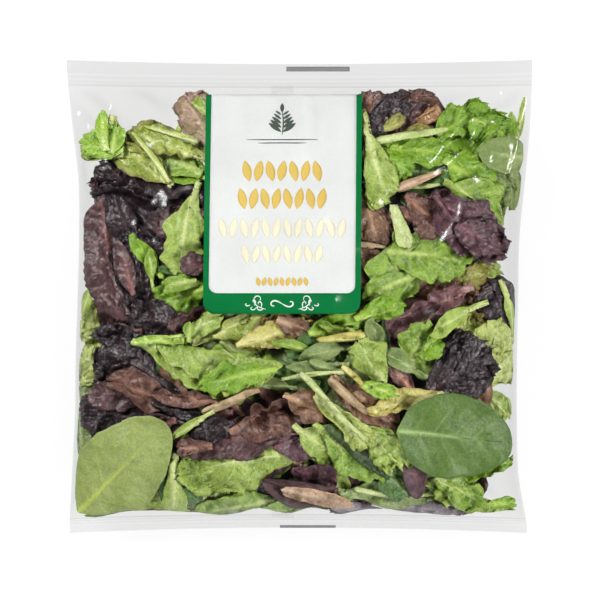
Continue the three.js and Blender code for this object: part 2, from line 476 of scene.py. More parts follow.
class Nodes:
    """A material's node tree, with short calls to add and join nodes."""

    def __init__(self, name):
        self.material = bpy.data.materials.new(name)
        self.material.use_nodes = True
        self.tree = self.material.node_tree
        self.tree.nodes.clear()
        self.output = self.add("ShaderNodeOutputMaterial")

    def add(self, kind, settings=None, **inputs):
        node = self.tree.nodes.new(kind)
        for key, value in (settings or {}).items():
            setattr(node, key, value)
        for key, value in inputs.items():
            self.join(value, node.inputs[key.replace("_", " ")])
        return node

    def join(self, value, socket):
        if isinstance(value, bpy.types.NodeSocket):
            self.tree.links.new(value, socket)
        else:
            socket.default_value = value

    def attribute(self, key, socket):
        return self.add("ShaderNodeAttribute", {"attribute_name": key}).outputs[socket]

    def maths(self, operation, first, second, clamp=True):
        node = self.add("ShaderNodeMath", {"operation": operation, "use_clamp": clamp})
        self.join(first, node.inputs[0])
        self.join(second, node.inputs[1])
        return node.outputs[0]

    def span(self, value, low, high, to_low, to_high):
        """A value taken from one span to another."""
        return self.add("ShaderNodeMapRange", Value=value, From_Min=low, From_Max=high, To_Min=to_low,
                        To_Max=to_high).outputs[0]

    def scaled(self, vector, factor):
        node = self.add("ShaderNodeVectorMath", {"operation": "SCALE"}, Scale=factor)
        self.join(vector, node.inputs[0])
        return node.outputs[0]

    def mix(self, factor, first, second):
        """A mix of two colours."""
        node = self.add("ShaderNodeMix", {"data_type": "RGBA"})
        for value, socket in ((factor, 0), (first, 6), (second, 7)):
            self.join(value, node.inputs[socket])
        return node.outputs[2]

    def blend(self, factor, first, second):
        """A mix of two shaders."""
        node = self.add("ShaderNodeMixShader", Fac=factor)
        self.join(first.outputs[0], node.inputs[1])
        self.join(second.outputs[0], node.inputs[2])
        return node

    def done(self, shader):
        self.join(shader.outputs[0], self.output.inputs["Surface"])
        return self.material


def colour(red, green, blue, alpha=1.0):
    """An sRGB colour of 0 to 255 as linear light."""
    def linear(value):
        value /= 255
        return value / 12.92 if value <= 0.04045 else ((value + 0.055) / 1.055) ** 2.4
    return (linear(red), linear(green), linear(blue), alpha)


def film_material(name, film_tint):
    """Clear film: it lets most light through, and shines more the flatter it is looked along."""
    nodes = Nodes(name)
    place = nodes.add("ShaderNodeTexCoord").outputs["Object"]
    crinkle = nodes.add("ShaderNodeTexNoise", Vector=place, Scale=70.0, Detail=3.0, Distortion=0.6)
    bump = nodes.add("ShaderNodeBump", Strength=0.35, Distance=0.001, Height=crinkle.outputs["Fac"])
    tint = nodes.scaled(film_tint, nodes.attribute("shade", "Fac"))
    through = nodes.add("ShaderNodeBsdfTransparent", Color=tint)
    haze = nodes.add("ShaderNodeBsdfDiffuse", Color=(0.9, 0.92, 0.92, 1))
    shine = nodes.add("ShaderNodeBsdfGlossy", Color=(1, 1, 1, 1), Roughness=FILM_ROUGHNESS,
                      Normal=bump.outputs[0])
    facing = nodes.add("ShaderNodeLayerWeight", Blend=0.5).outputs["Facing"]
    gloss = nodes.span(nodes.maths("POWER", facing, FILM_GLOSS_POWER, clamp=False), 0.0, 1.0, *FILM_GLOSS)
    return nodes.done(nodes.blend(gloss, nodes.blend(FILM_HAZE, through, haze), shine))


def core_material():
    # dark tones that paint the shade of the leaves deep in the heap
    nodes = Nodes("shaded_deep_leaves")
    place = nodes.add("ShaderNodeTexCoord").outputs["Object"]
    patches = nodes.add("ShaderNodeTexNoise", Vector=place, Scale=60.0, Detail=4.0).outputs["Fac"]
    tone = nodes.mix(patches, colour(*CORE_SHADE_TONES[0]), colour(*CORE_SHADE_TONES[1]))
    bump = nodes.add("ShaderNodeBump", Strength=0.6, Distance=0.002, Height=patches).outputs[0]
    return nodes.done(nodes.add("ShaderNodeBsdfPrincipled", Base_Color=tone, Roughness=0.6, Normal=bump))


def leaf_material(name, roughness, speckle, wet, net):
    """A leaf's blade, ribs and margin in the tones that each leaf carries, with a fine net of veins; the
    blade is painted lighter where it bulges and darker where it sinks, as painted light and shade.
    """
    nodes = Nodes(name)
    place = nodes.attribute("place", "Vector")
    rib_tone = nodes.attribute("rib_tone", "Color")
    patches = nodes.add("ShaderNodeTexNoise", Vector=place, Scale=0.11, Detail=4.0).outputs["Fac"]
    cells = nodes.add("ShaderNodeTexVoronoi", {"feature": "DISTANCE_TO_EDGE"}, Vector=place, Scale=0.4)
    domes = nodes.add("ShaderNodeTexVoronoi", {"feature": "SMOOTH_F1"}, Vector=place, Scale=0.55)
    fine = nodes.add("ShaderNodeTexNoise", Vector=place, Scale=1.1, Detail=3.0).outputs["Fac"]
    # painted light and shade: the lighter tone on the raised parts of the blade and the darker one in its
    # sunk parts, with random patches
    painted_relief_mix = nodes.maths("ADD", nodes.attribute("relief_light_and_shade", "Fac"), nodes.span(patches, 0.3, 0.7, -0.3, 0.3))
    blade = nodes.mix(painted_relief_mix, nodes.attribute("dark", "Color"), nodes.attribute("light", "Color"))
    net_line = nodes.span(cells.outputs["Distance"], 0.0, 0.14, 1.0, 0.0)
    veined = nodes.mix(nodes.maths("MULTIPLY", net_line, net * NET_TONE), blade, rib_tone)
    margin = nodes.maths("MULTIPLY", nodes.attribute("edge", "Fac"), EDGE_TONE)
    edged = nodes.mix(margin, veined, nodes.attribute("edge_tone", "Color"))
    ribbed = nodes.mix(nodes.attribute("rib", "Fac"), edged, rib_tone)
    tinted = nodes.scaled(ribbed, nodes.span(fine, 0.25, 0.75, 0.8, 1.18))
    grain = nodes.maths("ADD", nodes.maths("MULTIPLY", fine, GRAIN_RELIEF), DOME_RELIEF)
    dome = nodes.maths("MULTIPLY", domes.outputs["Distance"], DOME_RELIEF)
    height = nodes.maths("SUBTRACT", grain, dome)
    bump = nodes.add("ShaderNodeBump", Strength=speckle, Distance=0.0016, Height=height).outputs[0]
    surface = nodes.add("ShaderNodeBsdfPrincipled", Base_Color=tinted, Roughness=roughness, Normal=bump,
                        Specular_IOR_Level=LEAF_SHINE, Coat_Weight=wet, Coat_Roughness=WET_ROUGHNESS,
                        Coat_Normal=bump)
    through = nodes.add("ShaderNodeBsdfTranslucent", Color=tinted)
    return nodes.done(nodes.blend(LEAF_GLOW, surface, through))


# Leaves: their kinds, tones and shapes


@dataclass
class Kind:
    """How one kind of leaf is shaped. Lengths are in mm, shares are of the leaf's or blade's length."""

    stalk: float  # share of the leaf that is bare stalk
    stalk_width: float
    fullest: float  # share of the blade at which it is widest
    base_power: float  # 1 tapers evenly, less is rounder
    tip_power: float
    sweep: float = 30  # degrees that the side veins lean towards the tip
    veins: int = 6
    blister: float = 0.4  # how far the blade bulges between its veins
    blister_size: float = 6
    crumple: float = 0.8  # broad folds
    crumple_size: float = 22
    ruffle: float = 0.6  # waves of the margin
    ruffle_size: float = 14
    cup: float = 1.0
    lobes: float = 0
    lobe_depth: float = 0
    teeth: float = 0.02  # share of the half width
    teeth_size: float = 4
    thickness: float = 0.35
    rib: float = 1.2  # how far the midrib stands out below
    rib_end: float = 0.95  # share of the blade at which the midrib is lost
    stray: float = 1.0  # how far the outline strays from its plain form
    tear: float = 1.2  # how far the blade's end is torn
    vein_tone: float = 0.7  # how much of the rib's tone the side veins have
    stiff: int = 1  # how far it spans the hollows under it, in cells of the height map


KINDS = {
    "spinach": Kind(0.0, 2.4, 0.45, 0.5, 0.55, sweep=34, veins=6, blister=0.25, crumple=0.5, crumple_size=34,
                    ruffle=0.5, ruffle_size=26, cup=1.2, teeth=0.008, rib=0.9, rib_end=0.75,
                    stray=0.25, tear=0, vein_tone=0.36, stiff=3),
    "chard": Kind(0.1, 3.2, 0.5, 0.6, 0.6, sweep=38, veins=7, blister=0.8, blister_size=7, crumple=1.8,
                  crumple_size=20, ruffle=1.2, ruffle_size=11, cup=1.0, teeth=0.045, rib_end=0.8),
    "romaine": Kind(0.05, 3.6, 0.66, 1.1, 0.5, sweep=48, veins=7, blister=0.9, blister_size=6, crumple=1.5,
                    crumple_size=17, ruffle=1.0, ruffle_size=9, cup=1.5, teeth=0.06, rib=1.7, tear=1.6),
    "frill": Kind(0.04, 3.0, 0.7, 0.9, 0.42, sweep=52, veins=7, blister=0.9, blister_size=5, crumple=1.6,
                  crumple_size=14, ruffle=3.0, ruffle_size=7.5, cup=1.0, teeth=0.11, teeth_size=3.4,
                  tear=2.0),
    "oak": Kind(0.12, 3.0, 0.6, 0.8, 0.5, sweep=46, veins=6, blister=0.8, blister_size=6, crumple=1.3,
                crumple_size=18, ruffle=1.4, ruffle_size=10, lobes=3.5, lobe_depth=0.32, teeth=0.08,
                teeth_size=4, tear=1.8),
    "wedge": Kind(0.22, 4.6, 0.8, 1.5, 0.4, sweep=55, veins=8, blister=0.5, crumple=1.3, crumple_size=13,
                  ruffle=1.2, ruffle_size=8, teeth=0.09, teeth_size=3.5, rib=2.0, tear=2.2),
    "narrow": Kind(0.3, 2.0, 0.5, 0.8, 0.8, sweep=40, veins=5, blister=0.25, crumple=0.9, crumple_size=18,
                   ruffle=0.6, ruffle_size=12, cup=0.8, teeth=0.03, tear=0.4),
    "stalk": Kind(0.0, 1.6, 0.4, 0.3, 0.3, sweep=10, veins=2, blister=0.1, crumple=0.4, crumple_size=20,
                  ruffle=0.0, cup=-0.5, teeth=0.02, thickness=1.2, rib=1.2, tear=0.5),
}

# Tones of the blade where it bulges and where it sinks, of its ribs and of its margin, as seen in daylight.
# The first two are painted light and shade: the blade takes the lighter one on its raised parts and the
# darker one in its sunk parts, mixed with random patches.
TONES = {
    "spinach_back": ((161, 175, 106), (142, 158, 89), (190, 206, 96), (152, 166, 94)),
    "spinach_face": ((98, 126, 57), (75, 104, 42), (160, 186, 114), (84, 112, 50)),
    "lime": ((156, 196, 62), (106, 152, 28), (200, 222, 120), (168, 202, 84)),
    "vivid": ((130, 170, 38), (84, 130, 18), (180, 208, 92), (138, 176, 48)),
    "bright": ((140, 172, 62), (86, 124, 30), (190, 208, 116), (148, 178, 68)),
    "light": ((164, 188, 88), (122, 150, 48), (212, 222, 148), (164, 184, 84)),
    "yellow_green": ((172, 186, 78), (116, 140, 38), (222, 228, 150), (120, 86, 54)),
    "straw": ((212, 206, 118), (178, 172, 80), (228, 220, 152), (172, 134, 76)),
    # painted shade: a dark green for leaves that stand for shadowed gaps between the leaves
    "shade": ((58, 80, 38), (34, 50, 24), (88, 108, 62), (52, 72, 36)),
    "grey_green": ((140, 158, 94), (100, 122, 64), (174, 188, 126), (134, 152, 90)),
    "pale_green": ((192, 204, 116), (156, 174, 78), (222, 228, 168), (188, 200, 104)),
    "olive": ((162, 158, 74), (112, 112, 44), (190, 190, 110), (120, 88, 48)),
    "deep": ((84, 120, 54), (50, 84, 36), (140, 168, 98), (76, 110, 50)),
    "ink": ((57, 44, 48), (26, 16, 22), (80, 61, 65), (45, 34, 40)),
    # painted shade: a near-black tone for leaves that stand for the shadowed hollows of the heap
    "hollow_shadow": ((42, 29, 31), (20, 12, 15), (58, 42, 45), (32, 22, 25)),
    "plum": ((98, 72, 74), (54, 36, 40), (146, 102, 98), (66, 46, 48)),
    "chard": ((128, 96, 90), (82, 56, 56), (206, 150, 132), (76, 52, 54)),
    "wine": ((108, 78, 84), (60, 40, 48), (132, 86, 96), (70, 48, 54)),
    "violet": ((152, 108, 112), (98, 64, 70), (186, 144, 138), (80, 54, 60)),
    "rust": ((142, 104, 80), (90, 60, 46), (200, 164, 130), (84, 58, 46)),
    "russet": ((122, 86, 76), (74, 48, 44), (176, 130, 108), (72, 48, 42)),
    "blush": ((184, 148, 138), (148, 142, 88), (200, 176, 140), (128, 84, 84)),
    "stem": ((204, 216, 148), (176, 192, 112), (214, 224, 164), (190, 204, 130)),
    "tan": ((196, 170, 134), (164, 136, 102), (210, 186, 150), (170, 140, 104)),
    "orange": ((184, 136, 88), (136, 92, 56), (202, 160, 112), (96, 62, 48)),
    "rib_brown": ((198, 160, 128), (158, 120, 94), (214, 188, 160), (204, 170, 132)),
    "wine_rib": ((116, 78, 88), (86, 56, 62), (136, 98, 104), (92, 62, 68)),
    "jade": ((128, 172, 38), (82, 126, 18), (172, 202, 94), (132, 174, 46)),
    "ash": ((136, 126, 134), (96, 88, 96), (160, 150, 156), (110, 100, 108)),
}

RED_TONES = (
    "ink", "hollow_shadow", "plum", "chard", "wine", "violet", "rust", "russet", "blush", "ash", "tan", "orange",
    "rib_brown", "wine_rib",
)


# How far apart the points of a leaf are, by how well it is seen
SEEN_GRAIN = 1.12
SCRAP_GRAIN = 1.8
DEEP_GRAIN = 3.0
BACK_GRAIN = 1.8
LEAST_ROWS = 4
LEAST_COLUMNS = 5
MIDRIB_BUNCHING = 1.15  # above 1 the points lie closer at the midrib

# What every leaf's outline has in common. Waves are given by their size, by how far into the random field
# the leaf's two sides lie apart, so that they differ, and by their length in mm.
LEAD_LIMIT = 0.8  # of what is left of the leaf, for how far its margin runs ahead of its midrib
LEAD_POWER = 1.2
LOBE_LAG = 0.13  # by which the lobes of the two sides miss each other
LOBE_POWER = 0.8
LOBE_FADE = 0.3
OUTLINE_WAVES = ((0.06, 30, 16), (0.045, 70, 7))
TEETH_APART = 40
TEAR_WAVES = ((1, 9), (0.5, 4))
TEAR_WIDTH = 14  # a narrower leaf is torn less
TORN_PARTS = 3  # only the last third of the blade is torn
STALK_TAPER = 0.6
TWIST = (0.6, 0.05)  # how far the whole leaf strays from its plain form, and what each mm of width adds
TWIST_LENGTHS = (34, 30)

# Its relief
VEIN_LAG = 0.12
VEIN_WAVE = (0.05, 9, 20)
BLISTER_PARTS = (0.6, 0.7)  # random, and between the veins
BLISTER_AT_MARGIN = 0.4  # share of the blisters' height that is left there
RELIEF_START = 8  # it is whole from an eighth of the blade's length on
RELIEF_AT_MIDRIB = 0.1
RELIEF_REACH = 2  # mm beside the midrib over which it grows
FOLD_SHARPNESS = 1.6
FOLD_STRETCH = 0.7
RUFFLE_LEAD = 0.3
RUFFLE_LAG = 9
RUFFLE_LAG_WAVE = (1.3, 20, 18)
RUFFLE_SIZE_WAVE = (0.5, 50, 25)
RUFFLE_WIDTH = 22  # a narrower leaf is ruffled less
RUFFLE_LEAN = 0.45
MARGIN_POWER = 2.6
MARGIN_START = 5  # it is whole from a fifth of the blade's length on
FOLD_RADIUS = 1.6
ROLL_ANGLE = 1.5 * math.pi

# Its ribs and thickness
RIB_WIDTHS = (0.55, 0.42)  # at the base, and how much of it is lost at the tip, in widths of the stalk
RIB_FADE = 0.3
RIB_LOSS = 0.75  # of the midrib's depth towards the tip
VEIN_POWER = 14
VEIN_FADE = 0.7
VEIN_DEPTH = 0.25
MARGIN_THINNING = 0.6
MARGIN_PARTS = 12  # the last twelfth of the blade has the margin's tone
PAINTED_RELIEF_LIGHT = (0.5, 0.35, 0.25)  # painted light and shade of the blade's tone: on its level parts, and added from its blisters and its folds, lighter on their tops and darker in their hollows
TONE_FIELD = 900  # mm over which the places are drawn at which leaves read their patches and veins


def ripple(x, y, size, draw, waves=7):
    """Smooth random waves of about one size, mostly between -1 and 1."""
    total = 0
    for _ in range(waves):
        turn, phase, scale = draw.uniform((0, 0, 0.7), (2 * math.pi, 2 * math.pi, 1.5))
        along = x * math.cos(turn) + y * math.sin(turn)
        total = total + np.sin(2 * math.pi * along / (size * scale) + phase)
    return total / math.sqrt(waves / 2) * 0.7


def blade_share(kind, b):
    """Half width of a blade as a share of its greatest one, at a share b of its length."""
    rising = np.sin(math.pi / 2 * np.clip(b / kind.fullest, 0, 1)) ** kind.base_power
    falling = np.cos(math.pi / 2 * np.clip((b - kind.fullest) / (1 - kind.fullest), 0, 1)) ** kind.tip_power
    return np.where(b < kind.fullest, rising, falling)


def end_part(b, parts):
    """Grows from 0 to 1 over the last of so many parts of the blade."""
    return np.clip(parts * b - (parts - 1), 0, 1)


class Leaf:
    """One leaf as a grid of points, its base at the origin and its tip towards +x. At each point, b is how
    far along the blade it lies, from 0 to 1, and s how far out from the midrib, from -1 to 1."""

    def __init__(self, kind, length, width, calm, cut, grain):
        self.kind = kind
        self.width = width
        self.calm = calm
        self.seen_length = length
        self.length = length / (1 - cut)
        self.missing = self.length - length
        rows = int(length / grain) + LEAST_ROWS
        columns = 2 * int(width / grain / 2) + LEAST_COLUMNS
        self.along = np.linspace(self.missing, self.length, rows)[:, None] * np.ones(columns)
        even = np.linspace(-1, 1, columns)[None, :] * np.ones((rows, 1))
        self.side = np.sign(even)
        self.s = self.side * np.abs(even) ** MIDRIB_BUNCHING
        self.out = np.abs(self.s)
        self.b = self.blade_part(self.along)

    def blade_part(self, along):
        stalk = self.kind.stalk * self.length
        return np.clip((along - stalk) / (self.length - stalk), 0, 1)

    def waves(self, apart, length, draw):
        return ripple(self.along, apart * self.side, length, draw)

    def cut_out(self, draw):
        """Its outline, in x and y."""
        kind = self.kind
        b = self.b
        swept = self.width / 2 * blade_share(kind, b) * math.tan(math.radians(kind.sweep))
        lead = np.minimum(swept, LEAD_LIMIT * (self.length - self.along))
        half = blade_share(kind, self.blade_part(self.along + lead))
        if kind.lobes:
            lobe = 0.5 + 0.5 * np.cos(2 * math.pi * (kind.lobes * b + LOBE_LAG * self.side + draw.uniform()))
            half = half * (1 - kind.lobe_depth * lobe ** LOBE_POWER * np.sin(math.pi * b) ** LOBE_FADE)
        uneven = sum(size * self.waves(apart, length, draw) for size, apart, length in OUTLINE_WAVES)
        uneven = kind.stray * uneven + kind.teeth * self.waves(TEETH_APART, kind.teeth_size, draw)
        half = half * (1 + uneven)
        self.half = kind.stalk_width / 2 * (1 - STALK_TAPER * b) + (self.width - kind.stalk_width) / 2 * half
        self.reach = self.out * self.half
        across = self.s * self.width / 2
        torn = sum(size * ripple(across, 0 * across, length, draw) for size, length in TEAR_WAVES)
        torn = kind.tear * torn * end_part(b, TORN_PARTS) * np.minimum(1, self.width / TEAR_WIDTH)
        self.x = self.along + lead * self.out ** LEAD_POWER + torn
        self.y = self.side * self.reach

    def raise_relief(self, draw):
        """Its veins, blisters, folds and ruffled margin."""
        kind = self.kind
        b = self.b
        size, apart, length = VEIN_WAVE
        veins = kind.veins * b + VEIN_LAG * self.side + size * self.waves(apart, length, draw)
        self.vein_line = np.cos(2 * math.pi * veins)
        between = 0.5 - 0.5 * self.vein_line
        twist = (TWIST[0] + TWIST[1] * self.width) * min(1, self.calm) * kind.stray
        self.x = self.x - self.missing + twist * ripple(self.x, self.y, TWIST_LENGTHS[0], draw)
        self.y = self.y + twist * ripple(self.x, self.y, TWIST_LENGTHS[1], draw)
        x, y = self.x, self.y
        inner = BLISTER_AT_MARGIN + (1 - BLISTER_AT_MARGIN) * (1 - self.out ** 3)
        self.blister = ripple(x, y, kind.blister_size, draw) * BLISTER_PARTS[0] + between * BLISTER_PARTS[1]
        from_midrib = self.reach / RELIEF_REACH + RELIEF_AT_MIDRIB
        self.in_blade = np.minimum(1, np.minimum(b * RELIEF_START, from_midrib))
        relief = kind.blister * self.calm * self.blister * self.in_blade * inner
        folded = ripple(x, y * FOLD_STRETCH, kind.crumple_size, draw)
        self.folds = 1 - 2 * np.abs(np.sin(FOLD_SHARPNESS * folded))
        relief = relief + kind.crumple * self.calm * self.folds * self.in_blade
        self.relief = self.ruffled(relief, draw) + kind.cup * (self.out ** 2) * self.half / (self.width / 2)

    def ruffled(self, relief, draw):
        """The relief with the waves of the margin, which also lean over."""
        kind = self.kind
        turn = 2 * math.pi * (self.x + RUFFLE_LEAD * np.abs(self.y)) / kind.ruffle_size
        turn = turn + RUFFLE_LAG * self.side * draw.uniform()
        size, apart, length = RUFFLE_LAG_WAVE
        turn = turn + size * self.waves(apart, length, draw)
        margin = self.out ** MARGIN_POWER * np.minimum(1, self.b * MARGIN_START)
        size, apart, length = RUFFLE_SIZE_WAVE
        wave = kind.ruffle * self.calm * (1 + size * self.waves(apart, length, draw))
        wave = wave * min(1, self.width / RUFFLE_WIDTH)
        self.x = self.x - RUFFLE_LEAN * wave * margin * np.sin(2 * turn)
        return relief + wave * margin * np.sin(turn)

    def surface(self, bend, fold, roll, arch):
        """Its middle surface, folded or rolled about the midrib, arched and bent sideways."""
        angle_to = np.radians(np.where(self.side > 0, fold[1], fold[0]))
        radius = np.where(angle_to > 0, FOLD_RADIUS, 1.0)
        if roll:
            radius = roll
            angle_to = ROLL_ANGLE
        turned = np.minimum(np.abs(self.y) / radius, angle_to)
        rest = np.abs(self.y) - radius * turned
        relief = self.relief
        x = self.x
        y = self.side * (radius * np.sin(turned) + rest * np.cos(turned) - relief * np.sin(turned))
        z = radius * (1 - np.cos(turned)) + rest * np.sin(turned) + relief * np.cos(turned)
        z = z + arch * np.sin(math.pi * x / self.seen_length)
        heading = np.radians(bend) * (x / self.seen_length - 0.5)
        middle_x = self.seen_length / 2 + (x - self.seen_length / 2) * np.sinc(heading / math.pi)
        middle_y = -np.radians(bend) * self.seen_length / 8 * (1 - (2 * x / self.seen_length - 1) ** 2)
        return np.stack([middle_x - y * np.sin(heading), middle_y + y * np.cos(heading), z], axis=-1)

    def ribs(self):
        """Its midrib and its side veins, each from 0 to 1."""
        kind = self.kind
        rib_width = kind.stalk_width * (RIB_WIDTHS[0] - RIB_WIDTHS[1] * self.b)
        rib = np.exp(-((self.y / rib_width) ** 2)) * np.clip((kind.rib_end - self.b) / RIB_FADE, 0, 1)
        vein = np.maximum(0, self.vein_line) ** VEIN_POWER * (1 - self.out) ** VEIN_FADE * self.in_blade
        return rib, vein

    def values(self, rib, vein, draw):
        """What its material reads: which part of the patches and veins it has, where it is what, and the
        painted light and shade of its relief.
        """
        x = self.x + draw.uniform(0, TONE_FIELD)
        y = self.y + draw.uniform(0, TONE_FIELD)
        # painted light and shade: lighter on the blisters and fold ridges, darker between them
        level, from_blisters, from_folds = PAINTED_RELIEF_LIGHT
        light = level + from_blisters * self.blister + from_folds * self.folds
        return {
            "place": np.stack([x, y, 0 * x + draw.uniform(0, TONE_FIELD)], -1),
            "rib": np.maximum(rib, self.kind.vein_tone * vein),
            "relief_light_and_shade": np.clip(light, 0, 1),
            "edge": np.maximum(self.out ** 5, end_part(self.b, MARGIN_PARTS)),
        }


def leaf_shape(kind, length, width, draw, bend=0, fold=(0, 0), roll=0, flip=False, arch=0, calm=1.0, cut=0,
               grain=SEEN_GRAIN):
    """A leaf's middle surface, its thickness above and below, and what its material reads. bend is how far
    it curves sideways and fold how far each half is turned up, in degrees; roll is the radius that both
    halves are rolled up to; calm is the share of the kind's relief; cut is the share of the leaf that is
    missing at its base."""
    leaf = Leaf(kind, length, width, calm, cut, grain)
    leaf.cut_out(draw)
    leaf.raise_relief(draw)
    if flip:
        leaf.relief = -leaf.relief
    rib, vein = leaf.ribs()
    thin = kind.thickness * (1 - MARGIN_THINNING * leaf.out ** 4)
    above = thin / 2
    below = thin / 2 + kind.rib * (1 - RIB_LOSS * leaf.b) * rib + VEIN_DEPTH * vein
    if flip:
        above, below = below, above
    return leaf.surface(bend, fold, roll, arch), above, below, leaf.values(rib, vein, draw)


# The heap: a map of how high the leaves lie, on which each leaf is laid in turn
CELL = 1.5
MAP_X = np.arange(-129, 129.1, CELL)
MAP_Y = np.arange(-123, 117.1, CELL)
FILM_CLEARANCE = 1.1
LEAF_GAP = 0.15
FRONT_SHARE = 0.58  # of the bag's thickness, for the heap against the front panel
BACK_SHARE = 0.28
THIN_CLEARANCE = 0.3  # at most this share of the bag's thickness
SIDE_ROOM = (0.94, 0.985)  # shares of the way to the bag's sides: where leaves begin to yield, and the last
HEAP_BOTTOM_Y = -119.4
HEAP_TOP_Y = 112.5
HEAP_END = 6.0  # within this of the heap's ends the leaves are drawn closer together
END_WAVE = 1.7  # how uneven the heap's lower end is
END_WAVE_LENGTHS = (7, 23)
END_BOW = 2.4  # how much higher it is in the middle
SINKING = 0.5  # share of the gap under a leaf that it sinks by
LEAST_SMOOTHING = 2  # cells over which the heap is smoothed under a leaf
PRESS_REACH = (2, 3)  # cells over which the film spans the heap, and over which it is smoothed
LEAST_HEIGHT = 1.0


def soften(value, start, end):
    """The value up to start, then easing towards end without reaching it."""
    over = np.maximum(0, value - start) / (end - start)
    return np.where(value > start, start + (end - start) * np.tanh(over), value)


def inside_bag(x, y):
    """Points moved in from the bag's sides and ends."""
    y = soften(y, HEAP_TOP_Y - HEAP_END, HEAP_TOP_Y)
    wave = END_WAVE * (1 + np.sin(x / END_WAVE_LENGTHS[0] + 2 * np.sin(x / END_WAVE_LENGTHS[1])))
    bottom = HEAP_BOTTOM_Y + wave + END_BOW * (1 - (x / BOTTOM_EDGE_Y) ** 2)
    y = -soften(-y, -bottom - HEAP_END, -bottom)
    left, right = side_edges(y)
    across = (x - left) / (right - left) * 2 - 1
    across = np.sign(across) * soften(np.abs(across), *SIDE_ROOM)
    return left + (right - left) * (across + 1) / 2, y


def spread(grid, cells, take):
    """Each cell's value taken with its neighbours' up to a number of cells away."""
    for axis in (0, 1):
        padded = np.pad(grid, [(cells, cells) if a == axis else (0, 0) for a in (0, 1)], mode="edge")
        places = [np.arange(i, i + grid.shape[axis]) for i in range(2 * cells + 1)]
        shifted = [np.take(padded, place, axis=axis) for place in places]
        grid = take(shifted, axis=0)
    return grid


def cushion(grid, reach, smooth):
    """A smooth surface resting on a height map."""
    return spread(spread(spread(grid, reach, np.max), smooth, np.mean), smooth, np.mean)


def sample(grid, x, y):
    """Heights of a map between its cells."""
    u = np.clip((x - MAP_X[0]) / CELL, 0, len(MAP_X) - 1.001)
    v = np.clip((y - MAP_Y[0]) / CELL, 0, len(MAP_Y) - 1.001)
    i = u.astype(int)
    j = v.astype(int)
    u = u - i
    v = v - j
    low = grid[j, i] * (1 - u) + grid[j, i + 1] * u
    high = grid[j + 1, i] * (1 - u) + grid[j + 1, i + 1] * u
    return low * (1 - v) + high * v


def between_points(points):
    """A grid of points with the middles of its steps added."""
    rows = np.empty((2 * len(points) - 1,) + points.shape[1:])
    rows[::2] = points
    rows[1::2] = (points[1:] + points[:-1]) / 2
    columns = np.empty((rows.shape[0], 2 * points.shape[1] - 1, 3))
    columns[:, ::2] = rows
    columns[:, 1::2] = (rows[:, 1:] + rows[:, :-1]) / 2
    return columns


def up_and_down(x, y, above, below):
    """How far a sheet stands above and below its middle surface, where it lies face up or is turned over."""
    straight = np.gradient(x, axis=0) * np.gradient(y, axis=1)
    turned_over = straight < np.gradient(y, axis=0) * np.gradient(x, axis=1)
    return np.where(turned_over, below, above), np.where(turned_over, above, below)


class Heap:
    """Leaves laid one on another, against the front panel of the bag or the back one."""

    def __init__(self, is_front):
        self.is_front = is_front
        self.height = np.zeros((len(MAP_Y), len(MAP_X)))
        self.leaves = []

    def lay(self, kind, tone, base, tip, width, **shape):
        step = (tip[0] - base[0], tip[1] - base[1])
        length = math.hypot(*step)
        turn = math.atan2(step[1], step[0])
        flat, above, below, values = leaf_shape(KINDS[kind], length, width, rng, **shape)
        x = base[0] + flat[..., 0] * math.cos(turn) - flat[..., 1] * math.sin(turn)
        y = base[1] + flat[..., 0] * math.sin(turn) + flat[..., 1] * math.cos(turn)
        x, y = inside_bag(x, y)
        up, down = up_and_down(x, y, above, below)
        stiff = KINDS[kind].stiff
        z = sample(cushion(self.height, stiff, max(LEAST_SMOOTHING, stiff)), x, y) + flat[..., 2]
        lowest = sample(spread(self.height, 1, np.max), x, y) + down + LEAF_GAP
        z = np.maximum(z, lowest)
        z = z - SINKING * np.min(z - lowest)
        points = np.stack([x, y, z], axis=-1)
        top = points + np.stack([0 * x, 0 * x, up], axis=-1)
        dense = between_points(top).reshape(-1, 3)
        i = np.clip(np.round((dense[:, 0] - MAP_X[0]) / CELL).astype(int), 0, len(MAP_X) - 1)
        j = np.clip(np.round((dense[:, 1] - MAP_Y[0]) / CELL).astype(int), 0, len(MAP_Y) - 1)
        np.maximum.at(self.height, (j, i), dense[:, 2])
        self.leaves.append((kind, tone, points, above, below, up, values))

    def settle(self):
        """Press the heap against its panel, and give each leaf its real height in the bag."""
        over = np.maximum(cushion(self.height, *PRESS_REACH), LEAST_HEIGHT)
        for _, _, points, _, _, up, _ in self.leaves:
            x = points[..., 0]
            y = points[..., 1]
            front = film_height(x, y, True)
            back = film_height(x, y, False)
            clearance = np.minimum(FILM_CLEARANCE, THIN_CLEARANCE * (front - back))
            room = (front - back - 2 * clearance) * (FRONT_SHARE if self.is_front else BACK_SHARE)
            top = np.maximum(sample(over, x, y), points[..., 2] + up + LEAF_GAP)
            depth = (top - points[..., 2]) * np.minimum(1, room / top)
            if self.is_front:
                points[..., 2] = front - clearance - depth
            else:
                points[..., 2] = back + clearance + depth


def leaf_values(local, tone, count):
    """What the material reads at each corner of a leaf: the same on both of its faces."""
    values = {}
    for key, value in local.items():
        flat = value.reshape(-1, 3) if value.ndim == 3 else value.ravel()
        values[key] = np.concatenate([flat, flat])
    # light and dark: the blade's tones for painted light on its raised parts and painted shade in its sunk
    # parts
    for key, shade in zip(("light", "dark", "rib_tone", "edge_tone"), TONES[tone]):
        values[key] = np.tile(colour(*shade)[:3], (count, 1))
    return values


def make_leaves(heaps):
    """One piece for each kind of leaf, green or red, with every leaf of that kind joined in it."""
    made = []
    for kind, family in itertools.product(KINDS, ("green", "red")):
        solids = []
        values = []
        for heap in heaps:
            for name, tone, points, above, below, _, local in heap.leaves:
                if name != kind or (tone in RED_TONES) != (family == "red"):
                    continue
                solids.append(sheet_solid(points, above, below, 1 if heap.is_front else -1))
                values.append(leaf_values(local, tone, len(solids[-1][0])))
        if solids:
            joined = {key: np.concatenate([value[key] for value in values]) for key in values[0]}
            made.append((new_mesh(f"{family}_{kind}_leaves", *join_solids(solids), joined), kind, family))
    return made


